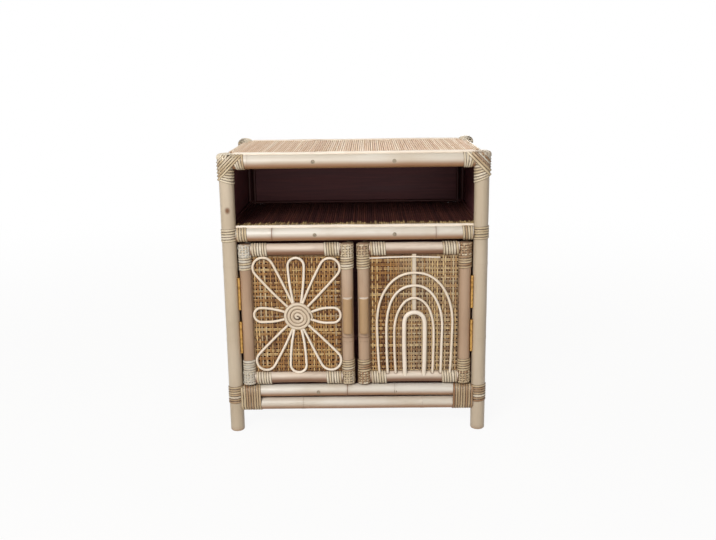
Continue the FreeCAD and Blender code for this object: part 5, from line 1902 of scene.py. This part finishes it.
ARCHES = (Arch(123.6, 79.3, 74.2, 347.8, 113.0, 2.2, 2.55), Arch(122.5, 58.6, 55.8, 320.6, 94.0, 2.2, 2.55),
          Arch(122.6, 41.6, 38.5, 293.8, 72.0, 2.0, 2.55), Arch(123.2, 21.8, 19.8, 263.2, 23.0, 2.0, 4.45))
# Painted shade of the holes in the bottom rail where the feet of the inner arches go in: dark patches, not
# cut
FOOT_HOLE_SHADE = tuple(Scar(arch.centre + sign * arch.foot_half, (0.0, -0.6, 0.8), arch.cane_r + 1.4,
                        arch.cane_r + 1.6, 1.0) for arch in ARCHES[1:] for sign in (-1, 1))


@dataclass
class Rainbow:
    """Three thin arches over a thick one, with a flat spine and a bead, on the right door."""

    door: Door
    spine_width: float = 8.0
    spine_thickness: float = 1.2
    foot_depth: float = 7.0
    foot_bend: float = 3.0
    thin_clear: float = 0.3
    thick_clear: float = 0.15
    thick_grey: float = 0.5
    bead_r: float = 1.7
    bead: tuple[tuple[float, float], ...] = ((30.0, 379.4), (75.0, 381.0), (120.0, 381.7), (160.0, 380.3),
                                             (176.0, 379.4))

    TONES = (0.1, 0.45)
    DRIFT = (0.35, 18.0)
    FOOT_REACH = 9.0

    def path(self, arch: Arch, forward: float, mesh: CaneMesh) -> np.ndarray:
        """Centre line of an arch from foot to foot.

        Args:
            arch: Sizes of the arch.
            forward: Distance of the line ahead of the stile axes.
            mesh: Mesh whose unevenness it takes.

        Returns:
            Points of the line.
        """
        bottom, _, rail_r = self.door.pole("bottom_rail")
        foot = bottom[2] + math.sqrt(max(rail_r ** 2 - forward ** 2, 0.0)) - self.foot_depth
        spring = arch.top - arch.rise
        crown = np.linspace(0.0, math.pi, 64)
        round_x = arch.half * np.sign(np.cos(crown)) * np.abs(np.cos(crown)) ** (2 / arch.power)
        round_z = spring + arch.rise * np.sin(crown) ** (2 / arch.power)
        leg = np.linspace(0.0, 1.0, 24)[:-1]
        leg_z = foot + (spring - foot) * leg
        leg_x = arch.half - (arch.half - arch.foot_half) * (1 - leg) ** 2
        x = np.concatenate((leg_x, round_x, -leg_x[::-1]))
        x += mesh.wander(np.arange(len(x), dtype=float), *self.DRIFT)
        z = np.concatenate((leg_z, round_z, leg_z[::-1]))
        y = bottom[1] - forward + self.foot_bend * np.exp(-((z - foot) / self.FOOT_REACH) ** 2)
        return np.stack((arch.centre + x, y, z), -1)

    def build(self, material: Material) -> None:
        """Make the arches, the spine and the bead along the top of the weave.

        Args:
            material: Finish of the canes.
        """
        mesh = CaneMesh("rainbow_arches_cane", 910)
        front = self.door.panel_front
        for arch in ARCHES:
            thin = arch.rise > arch.half
            clear = self.spine_thickness + self.thin_clear if thin else self.thick_clear
            path = self.path(arch, front + arch.cane_r + clear, mesh)
            grey = 0.0 if thin else self.thick_grey
            mesh.sweep(path, FRONT, circle(arch.cane_r, ROUND_SIDES), edge=ROUND_EDGE, stain=grey,
                       strand=mesh.random.uniform(*self.TONES) + grey)
        mesh.finish(Body.RIGHT_DOOR, Slot.PEELED, material, "rainbow_arches")
        low, high = node_box("rainbow_spine")
        spine = CaneMesh("rainbow_spine_cane", 911)
        z = np.linspace(low[2], high[2], 40)
        x = (low[0] + high[0]) / 2 + spine.wander(z, 0.25, 60.0)
        path = np.stack((x, np.full(len(z), high[1]), z), -1)
        spine.sweep(path, FRONT, CROWN * (self.spine_width, self.spine_thickness), edge=CROWN_EDGE * 0.5,
                    strand=0.7, stain=0.75)
        spine.finish(Body.RIGHT_DOOR, Slot.PEELED, material, "rainbow_spine")
        bead = CaneMesh("rainbow_bead_cane", 912)
        x = np.linspace(self.bead[0][0], self.bead[-1][0], 60)
        z = np.interp(x, [p[0] for p in self.bead], [p[1] for p in self.bead])
        z[1:-1] = (z[:-2] + 2 * z[1:-1] + z[2:]) / 4
        y = high[1] - self.bead_r * 0.9 + 3.0 * smooth_step(x, x[-1] - 8.0, x[-1])
        bead.sweep(np.stack((x, y, z), -1), UP, circle(self.bead_r, 10), strand=0.15)
        bead.finish(Body.RIGHT_DOOR, Slot.PEELED, material)


class Hardware:
    """Hinges, screws, strikes and catches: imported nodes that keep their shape."""

    NODES = {
        Slot.BRASS: ("hinge_frame_leaves", "hinge_pins", "left_door_hinge_leaves",
                     "right_door_hinge_leaves", "left_door_hinge_screws", "right_door_hinge_screws"),
        Slot.STEEL: ("frame_screws", "left_door_strike", "right_door_strike"),
        Slot.PLASTIC: ("magnet_catches",),
        Slot.BOARD: ("top_board", "shelf_board", "floor_board", "back_board", "side_board_left",
                     "side_board_right"),
    }

    def dress(self, finishes: dict[Slot, Material]) -> None:
        """Give the nodes their finishes.

        Args:
            finishes: Finish of each material slot.
        """
        for slot, names in self.NODES.items():
            for name in names:
                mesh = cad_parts[name].data
                mesh.materials.clear()
                mesh.materials.append(finishes[slot])
                LOG.info("%s: packed shape", name)


@dataclass
class Studio:
    """Camera at the photograph's place, soft light and a pale floor."""

    focal_pixels: float = 866.6
    position: tuple[float, float, float] = (27.3, -1910.55, 764.3)
    yaw: float = -0.699
    pitch: float = 13.161
    roll: float = -0.758
    sensor: float = 36.0
    floor_half: float = 30.0
    floor_near: float = 0.5
    floor_far: float = 3.0
    floor_white: float = 0.93
    floor_colour: str = "#e4e1dc"
    ambient: float = 0.17
    ambient_colour: str = "#fdfaf6"

    def camera(self) -> None:
        """Place the camera."""
        yaw, pitch, roll = (math.radians(a) for a in (self.yaw, self.pitch, self.roll))
        ahead = Vector((math.sin(yaw) * math.cos(pitch), math.cos(yaw) * math.cos(pitch), -math.sin(pitch)))
        level = Vector((math.cos(yaw), -math.sin(yaw), 0.0))
        above = level.cross(ahead)
        right = level * math.cos(roll) + above * math.sin(roll)
        up = above * math.cos(roll) - level * math.sin(roll)
        data = bpy.data.cameras.new("photo_camera")
        data.sensor_fit = "HORIZONTAL"
        data.sensor_width = self.sensor
        data.lens = self.focal_pixels * self.sensor / PHOTO_WIDTH
        data.clip_end = 100.0
        camera = bpy.data.objects.new("photo_camera", data)
        turn = Matrix((right, up, -ahead)).transposed()
        camera.matrix_world = Matrix.Translation(Vector(self.position) * MM) @ turn.to_4x4()
        bpy.context.scene.collection.objects.link(camera)
        bpy.context.scene.camera = camera

    def lamp(self, name: str, place: tuple[float, float, float], aim: tuple[float, float, float],
             size: tuple[float, float], power: float, colour: str) -> None:
        """Add a soft box.

        Args:
            name: Name of the lamp.
            place: Where it stands, in metres.
            aim: Point that it faces, in metres.
            size: Width and height in metres.
            power: Power in watts.
            colour: sRGB hex value of its light.
        """
        data = bpy.data.lights.new(name, "AREA")
        data.shape = "RECTANGLE"
        data.size, data.size_y = size
        data.energy = power
        data.color = linear(colour)[:3]
        lamp = bpy.data.objects.new(name, data)
        lamp.location = place
        lamp.rotation_mode = "QUATERNION"
        lamp.rotation_quaternion = (Vector(aim) - Vector(place)).to_track_quat("-Z", "Y")
        bpy.context.scene.collection.objects.link(lamp)

    def _seen(self, tree: NodeTree) -> NodeSocket:
        """Whether a ray comes from the camera, a reflection or a clear piece.

        Args:
            tree: Node tree that gets the nodes.

        Returns:
            A socket that is 1 for such a ray and 0 for light.
        """
        path = add_node(tree, "ShaderNodeLightPath")
        through = add_node(tree, "ShaderNodeMath", {"operation": "MAXIMUM"}, {
            0: path.outputs["Is Glossy Ray"], 1: path.outputs["Is Transmission Ray"]})
        seen = add_node(tree, "ShaderNodeMath", {"operation": "MAXIMUM"}, {
            0: path.outputs["Is Camera Ray"], 1: through.outputs[0]})
        return seen.outputs[0]

    def world(self) -> None:
        """White to the camera and in reflections, dimmer as light."""
        world = bpy.data.worlds.new("studio")
        world.use_nodes = True
        tree = world.node_tree
        tree.nodes.clear()
        light = add_node(tree, "ShaderNodeBackground", inputs={
            "Color": linear(self.ambient_colour), "Strength": self.ambient})
        white = add_node(tree, "ShaderNodeBackground", inputs={"Color": (1, 1, 1, 1), "Strength": 1.0})
        mixed = add_node(tree, "ShaderNodeMixShader", inputs={
            0: self._seen(tree), 1: light.outputs[0], 2: white.outputs[0]})
        add_node(tree, "ShaderNodeOutputWorld", inputs={"Surface": mixed.outputs[0]})
        bpy.context.scene.world = world

    def floor(self) -> None:
        """Pale matt floor that looks white to the camera and in reflections but keeps the shadow."""
        material, tree = new_tree("studio_paper_matt")
        place = add_node(tree, "ShaderNodeTexCoord")
        away = add_node(tree, "ShaderNodeVectorMath", {"operation": "LENGTH"}, {0: place.outputs["Object"]})
        far = add_node(tree, "ShaderNodeMapRange", {"interpolation_type": "SMOOTHSTEP"}, {
            "Value": away.outputs["Value"], "From Min": self.floor_near, "From Max": self.floor_far,
            "To Min": self.floor_white, "To Max": 1.0})
        share = add_node(tree, "ShaderNodeMath", {"operation": "MULTIPLY"}, {
            0: self._seen(tree), 1: far.outputs[0]})
        paper = add_node(tree, "ShaderNodeBsdfDiffuse", inputs={"Color": linear(self.floor_colour)})
        white = add_node(tree, "ShaderNodeEmission", inputs={"Color": (1, 1, 1, 1), "Strength": 1.0})
        mixed = add_node(tree, "ShaderNodeMixShader", inputs={
            0: share.outputs[0], 1: paper.outputs[0], 2: white.outputs[0]})
        add_node(tree, "ShaderNodeOutputMaterial", inputs={"Surface": mixed.outputs[0]})
        mesh = bpy.data.meshes.new("studio_floor")
        half = self.floor_half
        mesh.from_pydata([(-half, -half, 0), (half, -half, 0), (half, half, 0), (-half, half, 0)], [],
                         [(0, 1, 2, 3)])
        mesh.materials.append(material)
        floor = bpy.data.objects.new("studio_floor", mesh)
        bpy.context.scene.collection.objects.link(floor)

    def build(self) -> None:
        """Set the whole stage."""
        self.camera()
        self.world()
        self.floor()
        self.lamp("key_front", (-0.95, -2.35, 1.85), (0.0, 0.0, 0.3), (1.1, 0.9), 58.0, "#fffdfa")
        self.lamp("key_above", (-0.3, -0.4, 2.5), (0.0, 0.0, 0.5), (1.4, 1.4), 7.0, "#fffdfa")
        self.lamp("fill_front", (0.6, -3.2, 0.7), (0.0, 0.0, 0.45), (2.0, 1.2), 11.0, "#fffcf8")
        self.lamp("fill_back", (0.8, 2.6, 1.6), (0.0, 0.0, 0.3), (2.4, 1.6), 30.0, "#fffaf4")
        bpy.context.scene.view_settings.view_transform = "Standard"


def main() -> None:
    """Build the stage and every sub-assembly."""
    logging.basicConfig(level=logging.INFO, format="%(message)s")
    Studio().build()
    pole = POLE_CANE.make()
    door_pole = DOOR_CANE.make()
    strip = BINDING_CANE.make()
    peeled = PEELED_CANE.make()
    weave = WEAVE_CANE.make()
    PoleFrame().build(pole, PUTTY.make())
    FrameBindings().build(strip)
    Decks().build(MAT_CANE.make(), SHELF_CANE.make(), peeled)
    SideWalls().build(weave)
    left, right = Door(Side.LEFT), Door(Side.RIGHT, FOOT_HOLE_SHADE)
    for door in (left, right):
        door.build(door_pole, strip, weave)
    Flower(left).build(peeled)
    Rainbow(right).build(peeled)
    Hardware().dress({Slot.BRASS: BRASS.make(), Slot.STEEL: STEEL.make(),
                      Slot.PLASTIC: BROWN_PLASTIC.make(), Slot.BOARD: STAINED_PLY.make()})


if __name__ == "__main__":
    main()
